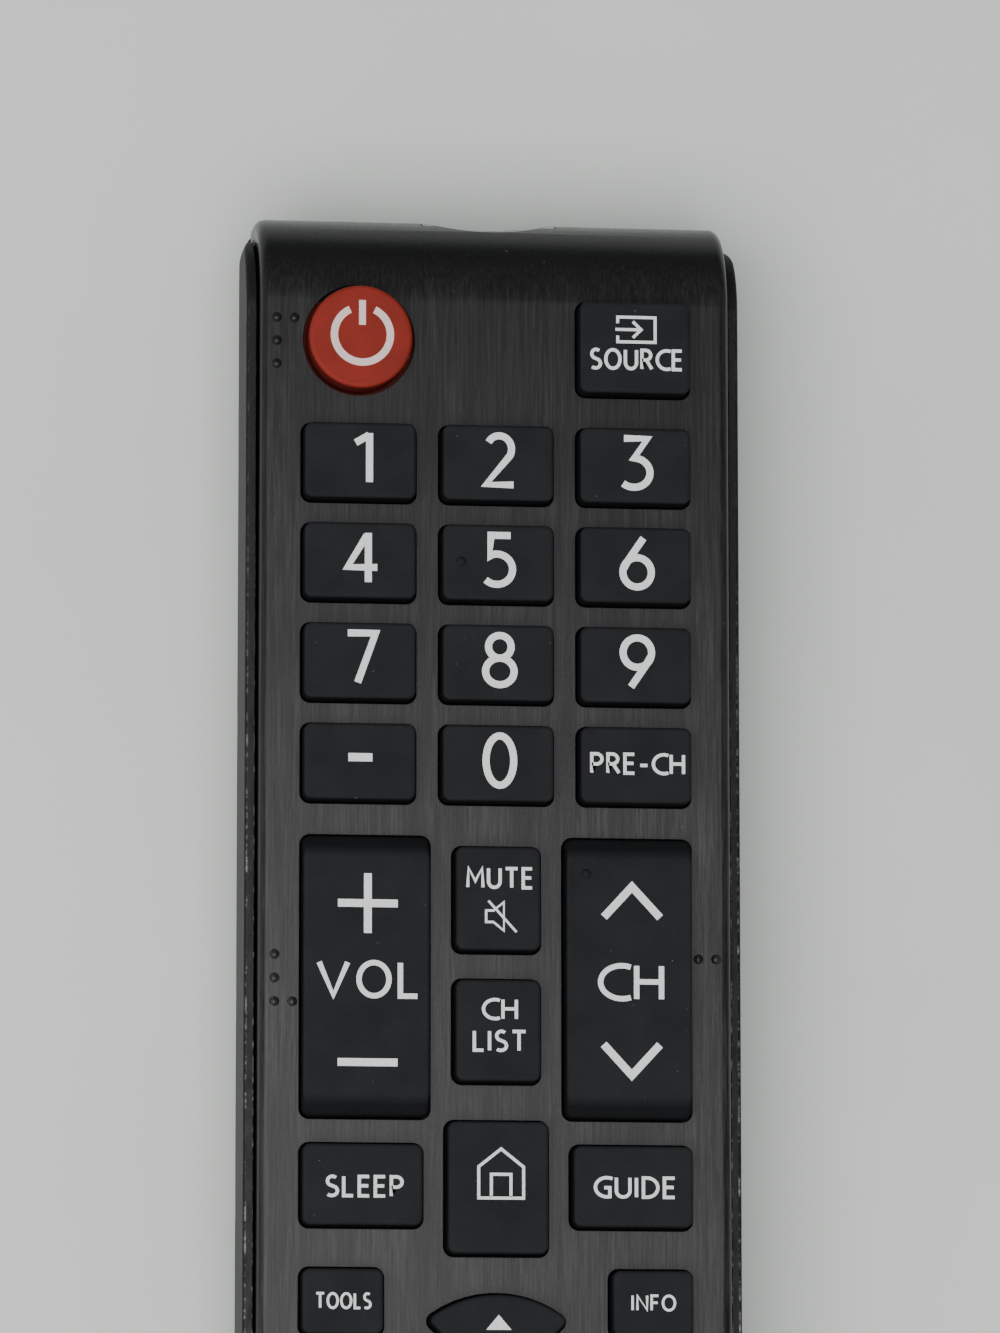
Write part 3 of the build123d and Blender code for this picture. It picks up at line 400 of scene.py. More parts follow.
def worn_edges(tree):
    """Share of painted highlight on the two edges of the rim: broken pale lines that stand for
    glints and fade towards the head.
    """
    side = tree.nodes.new("ShaderNodeMath")
    side.operation = "ABSOLUTE"
    tree.links.new(axis_value(tree, "X"), side.inputs[0])
    outer_edge = CASE_HIGH.x - 0.22 * MM
    inner_edge = CASE_HIGH.x - 0.86 * MM
    outer = band(tree, side.outputs["Value"], outer_edge, 0.12 * MM)
    inner = band(tree, side.outputs["Value"], inner_edge, 0.07 * MM)
    both = tree.nodes.new("ShaderNodeMath")
    both.operation = "MAXIMUM"
    tree.links.new(outer, both.inputs[0])
    tree.links.new(inner, both.inputs[1])
    specks = noise(tree, object_point(tree, (900.0, 1100.0, 900.0)), 1.0, 4.0, 0.75)
    broken = spread(tree, specks, 0.50, 0.70)
    top = spread(tree, axis_value(tree, "Z"), CASE_HIGH.z - 0.3 * MM, CASE_HIGH.z - 0.1 * MM)
    fade = spread(tree, axis_value(tree, "Y"), 12.0 * MM, 50.0 * MM, 1.0, 0.12)
    return product(tree, product(tree, both.outputs["Value"], broken), product(tree, top, fade))


def ink_material(name, tint):
    """White print, a little uneven where the rubber shows through."""
    material, tree, shader = new_material(name, tint, 0.55, 0.3)
    wear = spread(tree, noise(tree, object_point(tree), 2400.0, 3.0), 0.25, 0.5)
    paint(tree, shader, "Base Color", mix_tints(tree, wear, lighter(tint, 0.88), tint))
    return material


def window_material(colours):
    """Polished dark plastic, deeper towards its foot."""
    material, tree, shader = new_material("window_plastic", colours.window, 0.08, 0.6)
    rise = spread(tree, axis_value(tree, "Z"), WINDOW_LOW.z, WINDOW_HIGH.z)
    tint = mix_tints(tree, rise, lighter(colours.window, 0.6), lighter(colours.window, 1.6))
    paint(tree, shader, "Base Color", tint)
    haze = noise(tree, object_point(tree), 900.0, 3.0)
    paint(tree, shader, "Roughness", spread(tree, haze, 0.3, 0.7, 0.05, 0.12))
    return material


def board_material():
    """Green solder mask with copper tracks showing through."""
    green = (0.02, 0.13, 0.045)
    material, tree, shader = new_material("solder_mask", green, 0.32, 0.5)
    tracks = tree.nodes.new("ShaderNodeTexBrick")
    tracks.inputs["Scale"].default_value = 160.0
    tracks.inputs["Mortar Size"].default_value = 0.07
    tracks.inputs["Color1"].default_value = (*green, 1.0)
    tracks.inputs["Color2"].default_value = (*lighter(green, 0.85), 1.0)
    tracks.inputs["Mortar"].default_value = (*lighter(green, 1.9), 1.0)
    tree.links.new(object_point(tree), tracks.inputs["Vector"])
    paint(tree, shader, "Base Color", tracks.outputs["Color"])
    weave = noise(tree, object_point(tree), 1800.0, 2.0)
    emboss(tree, shader, weave, 0.01 * MM)
    return material


def plain_material(name, tint, roughness, metallic=0.0, scale=1400.0):
    """Simple moulded or metal surface with fine variation in tint and gloss."""
    material, tree, shader = new_material(name, tint, roughness)
    shader.inputs["Metallic"].default_value = metallic
    fleck = spread(tree, noise(tree, object_point(tree), scale, 3.0), 0.3, 0.7)
    shades = mix_tints(tree, fleck, lighter(tint, 0.82), lighter(tint, 1.15))
    paint(tree, shader, "Base Color", shades)
    gloss = spread(tree, fleck, 0.0, 1.0, roughness * 0.8, roughness * 1.2)
    paint(tree, shader, "Roughness", gloss)
    emboss(tree, shader, fleck, 0.006 * MM)
    return material


def cell_material(node, nose):
    """Printed jacket between bare metal ends, with a pale band at the nose.

    The nose lies towards +Y where nose is 1, and towards -Y where it is -1."""
    jacket = (0.035, 0.075, 0.19)
    pale = (0.55, 0.40, 0.12)
    metal = (0.55, 0.55, 0.56)
    low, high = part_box(node)
    span = high.y - low.y
    tints = (jacket, pale) if nose > 0 else (pale, jacket)
    # Shares of the length at which the band begins and the two bare ends begin
    edge, foot, top = (0.66, 0.03, 0.96) if nose > 0 else (0.34, 0.04, 0.97)
    sharp = 0.05 * MM
    material, tree, shader = new_material(node + "_jacket", jacket, 0.28, 0.5)
    along = axis_value(tree, "Y")
    change = low.y + edge * span
    banded = mix_tints(tree, spread(tree, along, change, change + 0.004 * span), *tints)
    foot_end = low.y + foot * span
    top_end = low.y + top * span
    jacketed = mix_tints(tree, spread(tree, along, foot_end, foot_end + sharp), metal, banded)
    bare = spread(tree, along, top_end, top_end + sharp)
    paint(tree, shader, "Base Color", mix_tints(tree, bare, jacketed, metal))
    scuffs = noise(tree, object_point(tree, (900.0, 260.0, 900.0)), 1.0, 3.0)
    paint(tree, shader, "Roughness", spread(tree, scuffs, 0.3, 0.7, 0.2, 0.36))
    return material


def floor_material(colours):
    """Pale laminate with hardly any grain."""
    material, tree, shader = new_material("pale_surface", colours.floor, 0.6, 0.25)
    cloud = spread(tree, noise(tree, object_point(tree), 28.0, 4.0), 0.3, 0.7)
    base = mix_tints(tree, cloud, lighter(colours.floor, 0.975), lighter(colours.floor, 1.02))
    paint(tree, shader, "Base Color", base)
    return material


# Pieces

def finished(mesh, name, body, material):
    """Object for a finished mesh: at the origin, on its body, with its finish."""
    mesh.materials.clear()
    mesh.materials.append(material)
    piece = bpy.data.objects.new(name, mesh)
    bpy.context.scene.collection.objects.link(piece)
    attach(piece, body)
    return piece


def dressed(node, name, material, sharp=28.0):
    """Piece with smooth shading that stands for a CAD node of the same shape."""
    source = NODES[node]
    work = bmesh.new()
    work.from_mesh(source.data)
    bmesh.ops.remove_doubles(work, verts=work.verts, dist=0.0005 * MM)
    for face in work.faces:
        face.smooth = True
    mesh = bpy.data.meshes.new(name)
    work.to_mesh(mesh)
    work.free()
    if "custom_normal" in mesh.attributes:
        mesh.attributes.remove(mesh.attributes["custom_normal"])
    mesh.set_sharp_from_angle(angle=radians(sharp))
    piece = finished(mesh, name, source["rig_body"], material)
    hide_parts(node)
    evening = piece.modifiers.new("Even shading", "WEIGHTED_NORMAL")
    evening.keep_sharp = True
    return piece


def cap_middle(node):
    """Middle of the flat face that a key shows, in metres."""
    near = 0.002 * MM
    face = [v.co for v in NODES[node].data.vertices if abs(v.co.z - KEY_TOP) < near]
    xs = [co.x for co in face]
    ys = [co.y for co in face]
    return Vector(((min(xs) + max(xs)) / 2, (min(ys) + max(ys)) / 2, KEY_TOP))


# Flat signs. Each shape is a list of closed loops of points in millimetres, and a loop inside
# another is a hole.

def box_loop(width, height, middle=(0.0, 0.0)):
    """Rectangle."""
    x, y = middle
    right, top = width / 2, height / 2
    return [(x - right, y - top), (x + right, y - top), (x + right, y + top), (x - right, y + top)]


def disc_loop(radius, middle=(0.0, 0.0), steps=48):
    """Circle."""
    turns = [2 * pi * step / steps for step in range(steps)]
    return [(middle[0] + radius * cos(t), middle[1] + radius * sin(t)) for t in turns]


def ring_band(radius, stroke, start, end, steps=48):
    """Arc of a ring, between two angles in degrees."""
    turns = [radians(start + (end - start) * step / steps) for step in range(steps + 1)]
    outer = [((radius + stroke / 2) * cos(t), (radius + stroke / 2) * sin(t)) for t in turns]
    inner = [((radius - stroke / 2) * cos(t), (radius - stroke / 2) * sin(t)) for t in turns]
    return outer + inner[::-1]


def side_points(points, offset, closed):
    """Points moved sideways from a path by an even distance, with mitred corners."""
    count = len(points)
    moved = []
    for index, point in enumerate(points):
        before = points[index - 1] if closed or index > 0 else None
        after = points[(index + 1) % count] if closed or index < count - 1 else None
        runs = []
        if before is not None:
            runs.append(Vector((point[0] - before[0], point[1] - before[1])).normalized())
        if after is not None:
            runs.append(Vector((after[0] - point[0], after[1] - point[1])).normalized())
        normals = [Vector((-run.y, run.x)) for run in runs]
        middle = sum(normals, Vector((0.0, 0.0))).normalized()
        reach = offset / max(0.62, middle.dot(normals[0]))
        moved.append((point[0] + middle.x * reach, point[1] + middle.y * reach))
    return moved


def ribbon(points, stroke, closed=False):
    """Loops of an even line along a path."""
    left = side_points(points, stroke / 2, closed)
    right = side_points(points, -stroke / 2, closed)
    if closed:
        return [left, right]
    return [left + right[::-1]]


def plus_loop(width, stroke):
    """Plus sign."""
    far, near = width / 2, stroke / 2
    corner = [(near, near), (near, far), (-near, far), (-near, near), (-far, near), (-far, -near)]
    return corner + [(-x, -y) for x, y in corner]


def chevron(width, height, stroke, up=1):
    """Open arrow head that points up or down."""
    thick = stroke / 2
    path = [(-width / 2 + thick, -up * (height / 2 - thick)), (0.0, up * (height / 2 - thick))]
    path.append((width / 2 - thick, -up * (height / 2 - thick)))
    return ribbon(path, stroke)


def triangle(width, height, heading=0.0, middle=(0.0, 0.0)):
    """Filled triangle whose tip points along a heading in degrees."""
    turn = Matrix.Rotation(radians(heading), 2)
    corners = [(-width / 2, -height / 2), (width / 2, 0.0), (-width / 2, height / 2)]
    turned = [turn @ Vector(corner) for corner in corners]
    return [(corner.x + middle[0], corner.y + middle[1]) for corner in turned]


def arc(x, y, wide, tall, start, end, steps=18):
    """Points along part of an ellipse, between two angles in degrees."""
    turns = [radians(start + (end - start) * step / steps) for step in range(steps + 1)]
    points = [(x + wide * cos(turn), y + tall * sin(turn)) for turn in turns]
    if abs(end - start) == 360:
        points[-1] = points[0]
    return points


# Plain letters and digits as centre lines, one unit high: the width, then the strokes.
LETTER_GAP = 0.28
LETTERS = {
    "0": (0.56, [arc(0.28, 0.5, 0.28, 0.5, 0, 360, 36)]),
    "1": (0.30, [[(0.02, 0.80), (0.29, 0.96)], [(0.30, 1.0), (0.30, 0.0)]]),
    "2": (0.56, [arc(0.27, 0.73, 0.25, 0.27, 150, -32) + [(0.0, 0.0), (0.56, 0.0)]]),
    "3": (0.56, [
        [(0.02, 1.0), (0.50, 1.0), (0.22, 0.60)] + arc(0.22, 0.30, 0.33, 0.30, 82, -132),
    ]),
    "4": (0.62, [[(0.41, 0.95), (0.02, 0.30), (0.62, 0.30)], [(0.44, 1.0), (0.44, 0.0)]]),
    "5": (0.56, [
        [(0.50, 1.0), (0.10, 1.0), (0.08, 0.57)] + arc(0.22, 0.31, 0.32, 0.31, 108, -135),
    ]),
    "6": (0.58, [
        arc(0.29, 0.30, 0.29, 0.30, 0, 360, 30),
        [(0.42, 1.0), (0.12, 0.56), (0.02, 0.38)],
    ]),
    "7": (0.56, [[(0.0, 1.0), (0.56, 1.0), (0.20, 0.0)]]),
    "8": (0.58, [
        arc(0.29, 0.77, 0.23, 0.23, 0, 360, 30),
        arc(0.29, 0.27, 0.29, 0.27, 0, 360, 30),
    ]),
    "9": (0.58, [
        arc(0.29, 0.70, 0.29, 0.30, 0, 360, 30),
        [(0.16, 0.0), (0.46, 0.44), (0.56, 0.62)],
    ]),
    "-": (0.34, [[(0.0, 0.42), (0.34, 0.42)]]),
    "A": (0.74, [[(0.0, 0.0), (0.37, 1.0), (0.74, 0.0)], [(0.13, 0.33), (0.61, 0.33)]]),
    "B": (0.52, [
        [(0.0, 0.53), (0.0, 1.0)] + arc(0.24, 0.765, 0.22, 0.235, 90, -90) + [(0.0, 0.53)],
        [(0.0, 0.53)] + arc(0.26, 0.265, 0.26, 0.265, 90, -90) + [(0.0, 0.0), (0.0, 0.53)],
    ]),
    "C": (0.56, [arc(0.50, 0.5, 0.50, 0.5, 66, 294, 26)]),
    "D": (0.62, [
        [(0.0, 0.0), (0.0, 1.0)] + arc(0.16, 0.5, 0.46, 0.5, 90, -90, 24) + [(0.0, 0.0)],
    ]),
    "E": (0.44, [[(0.44, 1.0), (0.0, 1.0), (0.0, 0.0), (0.44, 0.0)], [(0.0, 0.52), (0.40, 0.52)]]),
    "F": (0.42, [[(0.42, 1.0), (0.0, 1.0), (0.0, 0.0)], [(0.0, 0.52), (0.38, 0.52)]]),
    "G": (0.62, [
        arc(0.50, 0.5, 0.50, 0.5, 62, 284, 26) + [(0.62, 0.06), (0.62, 0.48), (0.38, 0.48)],
    ]),
    "H": (0.58, [
        [(0.0, 0.0), (0.0, 1.0)],
        [(0.58, 0.0), (0.58, 1.0)],
        [(0.0, 0.52), (0.58, 0.52)],
    ]),
    "I": (0.02, [[(0.0, 0.0), (0.0, 1.0)]]),
    "L": (0.42, [[(0.0, 1.0), (0.0, 0.0), (0.42, 0.0)]]),
    "M": (0.76, [[(0.0, 0.0), (0.04, 1.0), (0.38, 0.32), (0.72, 1.0), (0.76, 0.0)]]),
    "N": (0.60, [[(0.0, 0.0), (0.0, 1.0), (0.60, 0.0), (0.60, 1.0)]]),
    "O": (0.74, [arc(0.37, 0.5, 0.37, 0.5, 0, 360, 36)]),
    "P": (0.48, [[(0.0, 0.0), (0.0, 1.0)] + arc(0.22, 0.73, 0.26, 0.27, 90, -90) + [(0.0, 0.46)]]),
    "R": (0.52, [
        [(0.0, 0.0), (0.0, 1.0)] + arc(0.20, 0.74, 0.26, 0.26, 90, -90) + [(0.0, 0.48)],
        [(0.24, 0.48), (0.52, 0.0)],
    ]),
    "S": (0.48, [
        arc(0.25, 0.76, 0.22, 0.24, 45, 235, 18) + arc(0.22, 0.25, 0.26, 0.25, 52, -132, 18),
    ]),
    "T": (0.60, [[(0.0, 1.0), (0.60, 1.0)], [(0.30, 1.0), (0.30, 0.0)]]),
    "U": (0.58, [[(0.0, 1.0)] + arc(0.29, 0.32, 0.29, 0.32, 180, 360, 18) + [(0.58, 1.0)]]),
    "V": (0.70, [[(0.0, 1.0), (0.35, 0.0), (0.70, 1.0)]]),
    "X": (0.60, [[(0.0, 1.0), (0.60, 0.0)], [(0.60, 1.0), (0.0, 0.0)]]),
}


def flat_mesh(loops, thickness):
    """Mesh of a filled flat shape with the given thickness."""
    curve = bpy.data.curves.new("sign", "CURVE")
    curve.dimensions = "2D"
    curve.fill_mode = "BOTH"
    curve.extrude = thickness / 2
    for loop in loops:
        spline = curve.splines.new("POLY")
        spline.points.add(len(loop) - 1)
        for point, (x, y) in zip(spline.points, loop):
            point.co = (x * MM, y * MM, 0.0, 1.0)
        spline.use_cyclic_u = True
    return mesh_of(curve)


def mesh_of(curve):
    """Mesh made from a curve, which is then removed."""
    holder = bpy.data.objects.new("holder", curve)
    bpy.context.scene.collection.objects.link(holder)
    bpy.context.view_layer.update()
    graph = bpy.context.evaluated_depsgraph_get()
    mesh = bpy.data.meshes.new_from_object(holder.evaluated_get(graph))
    bpy.data.objects.remove(holder)
    bpy.data.curves.remove(curve)
    return mesh


def lettering(words, height, width, stroke):
    """Shapes of a word in plain strokes of even width, in millimetres, round its middle."""
    reach = 0.0
    laid = []
    for letter in words:
        wide, strokes = LETTERS[letter]
        laid.append((reach, strokes))
        reach += wide + LETTER_GAP
    reach -= LETTER_GAP
    tall = height - stroke
    scale = (width - stroke) / reach if width else tall
    shapes = []
    for start, strokes in laid:
        for points in strokes:
            path = [((start + x - reach / 2) * scale, (y - 0.5) * tall) for x, y in points]
            closed = points[0] == points[-1]
            shapes.append(ribbon(path[:-1] if closed else path, stroke, closed))
    return shapes


def printed(node, name, shapes, shift, sizes, material):
    """Print made of flat shapes, set on a key's face and riding with it.

    Each shape stands a hair higher than the last, so that crossing lines share no face."""
    work = bmesh.new()
    middle = cap_middle(node) + Vector((shift[0], shift[1], 0.0)) * MM
    for number, loops in enumerate(shapes):
        mesh = flat_mesh(loops, sizes.ink_rise + sizes.ink_root)
        lift = (sizes.ink_rise - sizes.ink_root) / 2 + number * HAIR
        mesh.transform(Matrix.Translation(middle + Vector((0.0, 0.0, lift))))
        work.from_mesh(mesh)
        bpy.data.meshes.remove(mesh)
    bmesh.ops.remove_doubles(work, verts=work.verts, dist=HAIR / 4)
    bmesh.ops.recalc_face_normals(work, faces=work.faces)
    whole = bpy.data.meshes.new(name)
    work.to_mesh(whole)
    work.free()
    return finished(whole, name, NODES[node]["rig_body"], material)


# Operators

class REMOTE_OT_shells(bpy.types.Operator):
    """Dress the case, the battery door, the cover plate and the window"""

    bl_idname = "remote.shells"
    bl_label = "Shells"

    def execute(self, context):
        sizes = context.scene.remote_sizes
        colours = context.scene.remote_colours
        case = case_material(colours, sizes)
        dressed("bottom_case", "case_shell", case)
        dressed("battery_door", "door_shell", case)
        dressed("top_cover", "cover_plate", film_material(colours, sizes))
        dressed("ir_window", "window_pane", window_material(colours))
        return {"FINISHED"}


class REMOTE_OT_keys(bpy.types.Operator):
    """Dress the rubber keys and the two rockers"""

    bl_idname = "remote.keys"
    bl_label = "Keys"

    def execute(self, context):
        colours = context.scene.remote_colours
        black = rubber_material("black_rubber", colours.rubber)
        for node in PLAIN_KEYS + ROCKERS:
            dressed(node, node + "_cap", black)
        red = rubber_material("power_rubber", colours.power, 0.6, 0.2, 0.45)
        dressed("key_power", "key_power_cap", red)
        for node in COLOUR_KEYS:
            shade = node[len("key_"):]
            tint = getattr(colours, shade)
            rubber = rubber_material(shade + "_rubber", tint, 0.6, 0.2, 0.45)
            dressed(node, node + "_cap", rubber)
        return {"FINISHED"}


class REMOTE_OT_digits(bpy.types.Operator):
    """Print the digits"""

    bl_idname = "remote.digits"
    bl_label = "Digits"

    def execute(self, context):
        sizes = context.scene.remote_sizes
        ink = ink_material("digit_ink", context.scene.remote_colours.ink)
        for digit in range(10):
            shapes = lettering(
                str(digit), sizes.digit_height / MM, None, sizes.digit_stroke / MM
            )
            printed(f"key_{digit}", f"print_{digit}", shapes, (0.1, 0.2), sizes, ink)
        return {"FINISHED"}


class REMOTE_OT_words(bpy.types.Operator):
    """Print the plain function words"""

    bl_idname = "remote.words"
    bl_label = "Words"

    def execute(self, context):
        sizes = context.scene.remote_sizes
        ink = ink_material("word_ink", context.scene.remote_colours.ink)
        small = sizes.word_height / MM
        large = sizes.rocker_word_height / MM
        tiny = small * 0.75
        # Key, its words, their height, width in millimetres and shift from the key's middle
        rows = [
            ("key_source", "SOURCE", small, 8.3, (0.1, -1.1)),
            ("key_previous_channel", "PRE-CH", small, 8.35, (0.1, 0.1)),
            ("key_mute", "MUTE", small, 5.9, (0.1, 1.75)),
            ("key_channel_list", "CH", small, 3.15, (0.1, 1.8)),
            ("key_channel_list", "LIST", small, 4.75, (0.1, -0.95)),
            ("key_sleep", "SLEEP", small, 6.8, (0.1, -0.2)),
            ("key_guide", "GUIDE", small, 7.2, (0.1, -0.1)),
            ("rocker_volume", "VOL", large, 9.0, (0.1, -0.4)),
            ("rocker_channel", "CH", large, 5.8, (0.1, -0.4)),
            ("key_tools", "TOOLS", tiny, 4.9, (0.0, 0.0)),
            ("key_info", "INFO", tiny, 3.9, (0.0, 0.0)),
            ("key_return", "RETURN", tiny, 5.6, (0.0, 0.0)),
            ("key_exit", "EXIT", tiny, 3.8, (0.0, 0.0)),
        ]
        for node, words, tall, wide, shift in rows:
            line = sizes.rocker_word_stroke if tall >= large else sizes.word_stroke
            shapes = lettering(words, tall, wide, line / MM * min(1.0, tall / small))
            name = f"print_{node[node.index('_') + 1:]}_{words.lower().replace('-', '_')}"
            printed(node, name, shapes, shift, sizes, ink)
        dark = ink_material("letter_ink", (0.03, 0.03, 0.03))
        for node, letter in COLOUR_KEYS.items():
            shade = node[len("key_"):]
            shapes = lettering(letter, small, None, sizes.word_stroke / MM)
            tint = dark if shade == "yellow" else ink
            printed(node, f"print_{shade}", shapes, (0, 0), sizes, tint)
        return {"FINISHED"}


class REMOTE_OT_signs(bpy.types.Operator):
    """Print the power sign, the rockers' signs and the small pictograms"""

    bl_idname = "remote.signs"
    bl_label = "Signs"

    def execute(self, context):
        sizes = context.scene.remote_sizes
        colours = context.scene.remote_colours
        ink = ink_material("sign_ink", colours.ink)
        pink = ink_material("power_sign_ink", (0.86, 0.68, 0.63))
        large = sizes.sign_stroke / MM
        small = sizes.icon_stroke / MM

        def sign(node, name, loops, shift, tint=ink):
            printed(node, name, [loops], shift, sizes, tint)

        ring = ring_band(2.46, large * 0.95, 90 + 26, 450 - 26)
        bar = box_loop(0.6, 2.2, (0.0, 1.95))
        sign("key_power", "print_power", [ring, bar], (0.1, 0.15), pink)

        sign("key_dash", "print_dash", [box_loop(2.1, 0.72)], (0.0, 0.3))
        sign("rocker_volume", "print_volume_plus", [plus_loop(5.2, large)], (0.05, 6.2))
        sign("rocker_volume", "print_volume_minus", [box_loop(5.2, large)], (0.05, -7.6))
        up = chevron(5.6, 3.35, large)
        down = chevron(5.6, 3.35, large, -1)
        sign("rocker_channel", "print_channel_up", up, (0.2, 6.6))
        sign("rocker_channel", "print_channel_down", down, (0.15, -7.15))

        # Rectangle open at the left, with an arrow that runs into it
        frame_path = [
            (-1.66, 0.55), (-1.66, 1.1), (1.66, 1.1), (1.66, -1.1), (-1.66, -1.1), (-1.66, -0.55),
        ]
        shaft = ribbon([(-1.86, 0.0), (0.3, 0.0)], small)
        head = ribbon([(-0.32, 0.72), (0.42, 0.0), (-0.32, -0.72)], small)
        source = [ribbon(frame_path, small), shaft, head]
        printed("key_source", "print_source_input", source, (0.1, 1.55), sizes, ink)

        # Loudspeaker with a line across it
        horn = [
            (-1.2, -0.5), (-0.55, -0.5), (0.35, -1.25), (0.35, 1.25), (-0.55, 0.5), (-1.2, 0.5),
        ]
        thin = small * 0.8
        speaker = [ribbon(horn, thin, closed=True), ribbon([(-1.0, 1.35), (1.45, -1.35)], thin)]
        printed("key_mute", "print_mute_speaker", speaker, (0.1, -1.6), sizes, ink)

        wall = [(-1.95, -2.15), (1.95, -2.15), (1.95, 0.55), (0.0, 2.1), (-1.95, 0.55)]
        door = [(-0.85, -1.95), (-0.85, -0.1), (0.85, -0.1), (0.85, -1.95)]
        house = [ribbon(wall, small, closed=True), ribbon(door, small)]
        printed("key_home", "print_home_house", house, (0.2, 1.2), sizes, ink)

        turns = {"key_up": 90, "key_left": 180, "key_down": 270, "key_right": 0}
        for node, heading in turns.items():
            sign(node, f"print_{node[len('key_'):]}", [triangle(1.3, 2.2, heading)], (0, 0))
        enter = [(1.3, 1.1), (1.3, -0.35), (-0.7, -0.35)]
        tip = [triangle(0.9, 1.5, 180, (-1.1, -0.35))]
        printed("key_enter", "print_enter", [ribbon(enter, small), tip], (0, 0), sizes, ink)

        twice = [triangle(1.5, 2.0, 0, (-0.75, 0)), triangle(1.5, 2.0, 0, (0.75, 0))]
        back = [triangle(1.5, 2.0, 180, (-0.75, 0)), triangle(1.5, 2.0, 180, (0.75, 0))]
        bars = [box_loop(0.55, 2.0, (-0.55, 0)), box_loop(0.55, 2.0, (0.55, 0))]
        sign("key_rewind", "print_rewind", back, (0, 0))
        sign("key_forward", "print_forward", twice, (0, 0))
        sign("key_pause", "print_pause", bars, (0, 0))
        sign("key_record", "print_record", [disc_loop(1.0)], (0, 0))
        sign("key_play", "print_play", [triangle(1.7, 2.0)], (0, 0))
        sign("key_stop", "print_stop", [box_loop(1.75, 1.75)], (0, 0))
        return {"FINISHED"}


class REMOTE_OT_insides(bpy.types.Operator):
    """Give the pieces inside the case their finishes"""

    bl_idname = "remote.insides"
    bl_label = "Insides"

    def execute(self, context):
        steel = plain_material("plated_steel", (0.62, 0.61, 0.58), 0.26, 1.0)
        chip = plain_material("moulded_package", (0.018, 0.018, 0.019), 0.45)
        finishes = {
            "keypad_mat": rubber_material("grey_rubber", (0.07, 0.07, 0.075), wall=1.0),
            "circuit_board": board_material(),
            "ir_led": plain_material("smoked_resin", (0.04, 0.03, 0.05), 0.12),
            "contact_plates": steel,
            "controller_chip": chip,
            "ceramic_resonator": plain_material("dipped_ceramic", (0.5, 0.2, 0.04), 0.4),
            "capacitor": plain_material("drawn_can", (0.5, 0.5, 0.52), 0.3, 0.8),
            "transistor": chip,
            "resistors": plain_material("resistor_body", (0.03, 0.03, 0.035), 0.35),
            "case_screws": plain_material("dark_steel", (0.28, 0.28, 0.29), 0.32, 1.0),
        }
        for node, material in finishes.items():
            NODES[node].data.materials.clear()
            NODES[node].data.materials.append(material)
        left = cell_material("battery_left", 1)
        right = cell_material("battery_right", -1)
        dressed("battery_left", "cell_left", left)
        dressed("battery_right", "cell_right", right)
        dressed("contact_springs", "bay_springs", steel)
        return {"FINISHED"}


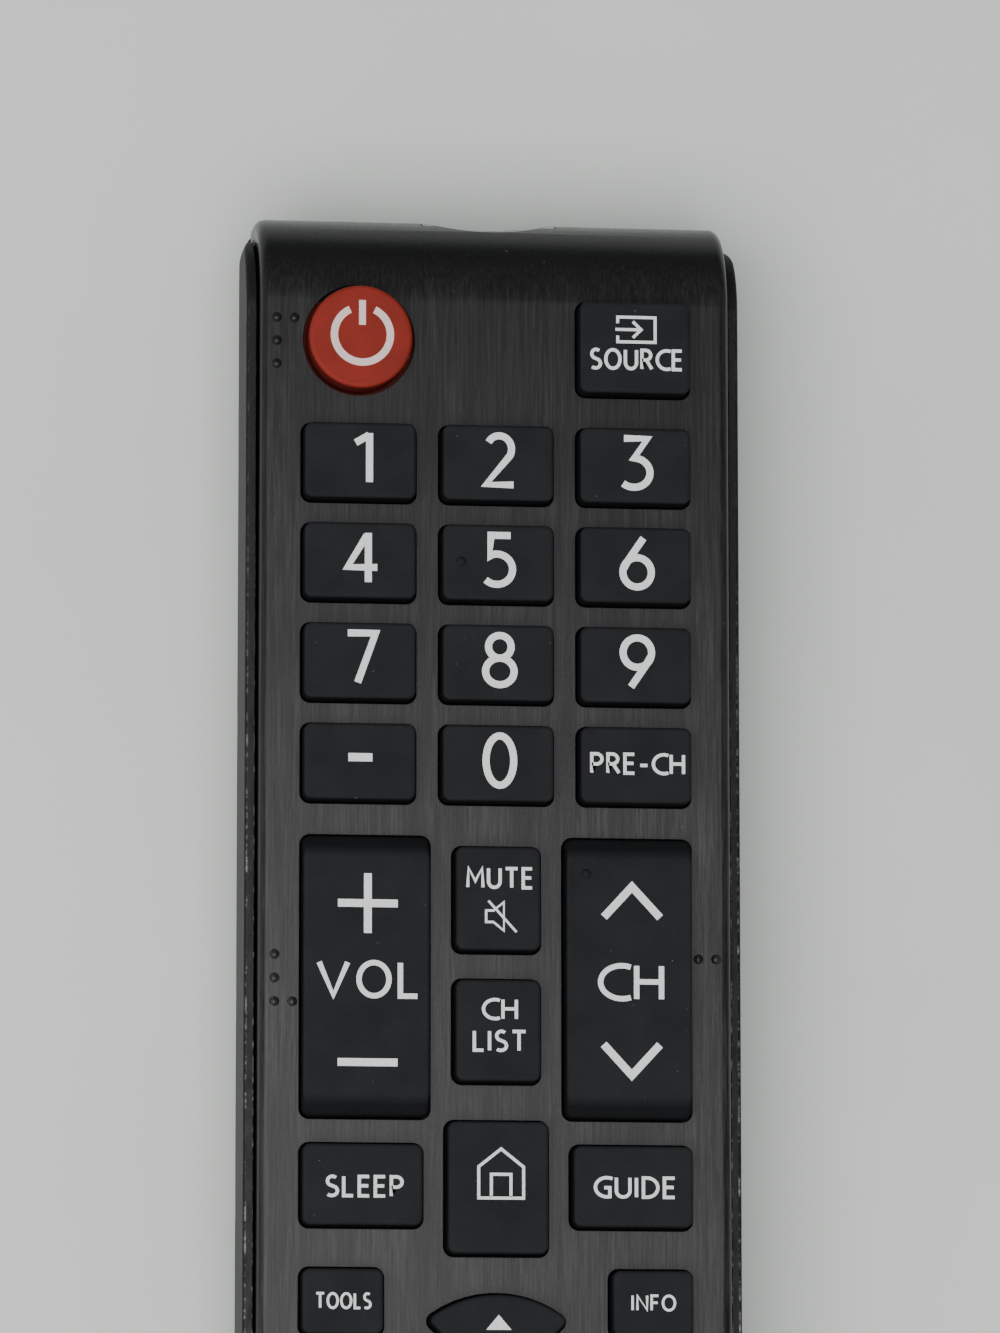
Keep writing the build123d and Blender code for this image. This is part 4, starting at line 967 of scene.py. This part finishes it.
class REMOTE_OT_stage(bpy.types.Operator):
    """Lay the floor and set up the lights and the camera"""

    bl_idname = "remote.stage"
    bl_label = "Stage"

    def execute(self, context):
        stage = context.scene.remote_stage
        colours = context.scene.remote_colours
        if stage.show_floor:
            self.lay_floor(context, colours)
        self.light(context, "overhead_light", OVERHEAD_PLACE, OVERHEAD_SIZE, stage.key_power)
        self.light(context, "left_light", LEFT_PLACE, LEFT_SIZE, stage.fill_power)
        world = bpy.data.worlds.new("studio")
        world.use_nodes = True
        self.set_sky(world.node_tree, stage.sky)
        context.scene.world = world
        self.set_camera(context)
        return {"FINISHED"}

    def set_sky(self, tree, strength):
        """Even room light that grows dim past the head end and the right side."""
        sky = tree.nodes["Background"]
        sky.inputs["Color"].default_value = SKY_TINT
        place = tree.nodes.new("ShaderNodeTexCoord")
        side = tree.nodes.new("ShaderNodeVectorMath")
        side.operation = "DOT_PRODUCT"
        side.inputs[1].default_value = DIM_HEADING
        tree.links.new(place.outputs["Generated"], side.inputs[0])
        share = spread(tree, side.outputs["Value"], -0.4, 1.0, strength * 1.2, strength * 0.4)
        tree.links.new(share, sky.inputs["Strength"])

    def lay_floor(self, context, colours):
        """Flat pale surface that the back of the case rests on."""
        work = bmesh.new()
        bmesh.ops.create_grid(work, x_segments=2, y_segments=2, size=FLOOR_REACH)
        mesh = bpy.data.meshes.new("pale_floor")
        work.to_mesh(mesh)
        work.free()
        mesh.transform(Matrix.Translation((0.0, 0.0, CAD_BOX[0][2])))
        mesh.materials.append(floor_material(colours))
        floor = bpy.data.objects.new("pale_floor", mesh)
        context.scene.collection.objects.link(floor)

    def light(self, context, name, place, size, power):
        """Soft rectangular light; the overhead one faces straight down, any other the remote."""
        lamp = bpy.data.lights.new(name, "AREA")
        lamp.shape = "RECTANGLE"
        lamp.size = size[0]
        lamp.size_y = size[1]
        lamp.energy = power
        holder = bpy.data.objects.new(name, lamp)
        holder.location = place
        if name != "overhead_light":
            holder.rotation_euler = Vector(place).to_track_quat("Z", "Y").to_euler()
        context.scene.collection.objects.link(holder)

    def set_camera(self, context):
        """Camera that looks down on the head end, a little from the left and the tail."""
        lens = bpy.data.cameras.new("view")
        lens.sensor_fit = "HORIZONTAL"
        lens.sensor_width = SENSOR_WIDTH
        lens.lens = FOCAL_LENGTH
        lens.clip_start = 0.05
        lens.clip_end = 10.0
        camera = bpy.data.objects.new("view", lens)
        camera.location = CAMERA_PLACE
        camera.rotation_euler = Euler([radians(turn) for turn in CAMERA_TURN])
        context.scene.collection.objects.link(camera)
        context.scene.camera = camera


class REMOTE_PT_panel(bpy.types.Panel):
    """Sizes, colours and steps of the remote control"""

    bl_label = "Remote control"
    bl_idname = "REMOTE_PT_panel"
    bl_space_type = "VIEW_3D"
    bl_region_type = "UI"
    bl_category = "Remote"

    def draw(self, context):
        column = self.layout.column()
        for group in (
            context.scene.remote_sizes,
            context.scene.remote_colours,
            context.scene.remote_stage,
        ):
            for name in group.__annotations__:
                column.prop(group, name)
        for step in STEPS:
            column.operator(step.bl_idname)


STEPS = (
    REMOTE_OT_stage,
    REMOTE_OT_shells,
    REMOTE_OT_keys,
    REMOTE_OT_digits,
    REMOTE_OT_words,
    REMOTE_OT_signs,
    REMOTE_OT_insides,
)
GROUPS = (RemoteSizes, RemoteColours, RemoteStage)


def register():
    for group in GROUPS:
        bpy.utils.register_class(group)
    for step in STEPS:
        bpy.utils.register_class(step)
    bpy.utils.register_class(REMOTE_PT_panel)
    bpy.types.Scene.remote_sizes = PointerProperty(type=RemoteSizes)
    bpy.types.Scene.remote_colours = PointerProperty(type=RemoteColours)
    bpy.types.Scene.remote_stage = PointerProperty(type=RemoteStage)


def unregister():
    del bpy.types.Scene.remote_stage
    del bpy.types.Scene.remote_colours
    del bpy.types.Scene.remote_sizes
    bpy.utils.unregister_class(REMOTE_PT_panel)
    for step in reversed(STEPS):
        bpy.utils.unregister_class(step)
    for group in reversed(GROUPS):
        bpy.utils.unregister_class(group)


def main():
    register()
    bpy.ops.remote.stage()
    bpy.ops.remote.shells()
    bpy.ops.remote.keys()
    bpy.ops.remote.digits()
    bpy.ops.remote.words()
    bpy.ops.remote.signs()
    bpy.ops.remote.insides()


if __name__ == "__main__":
    main()
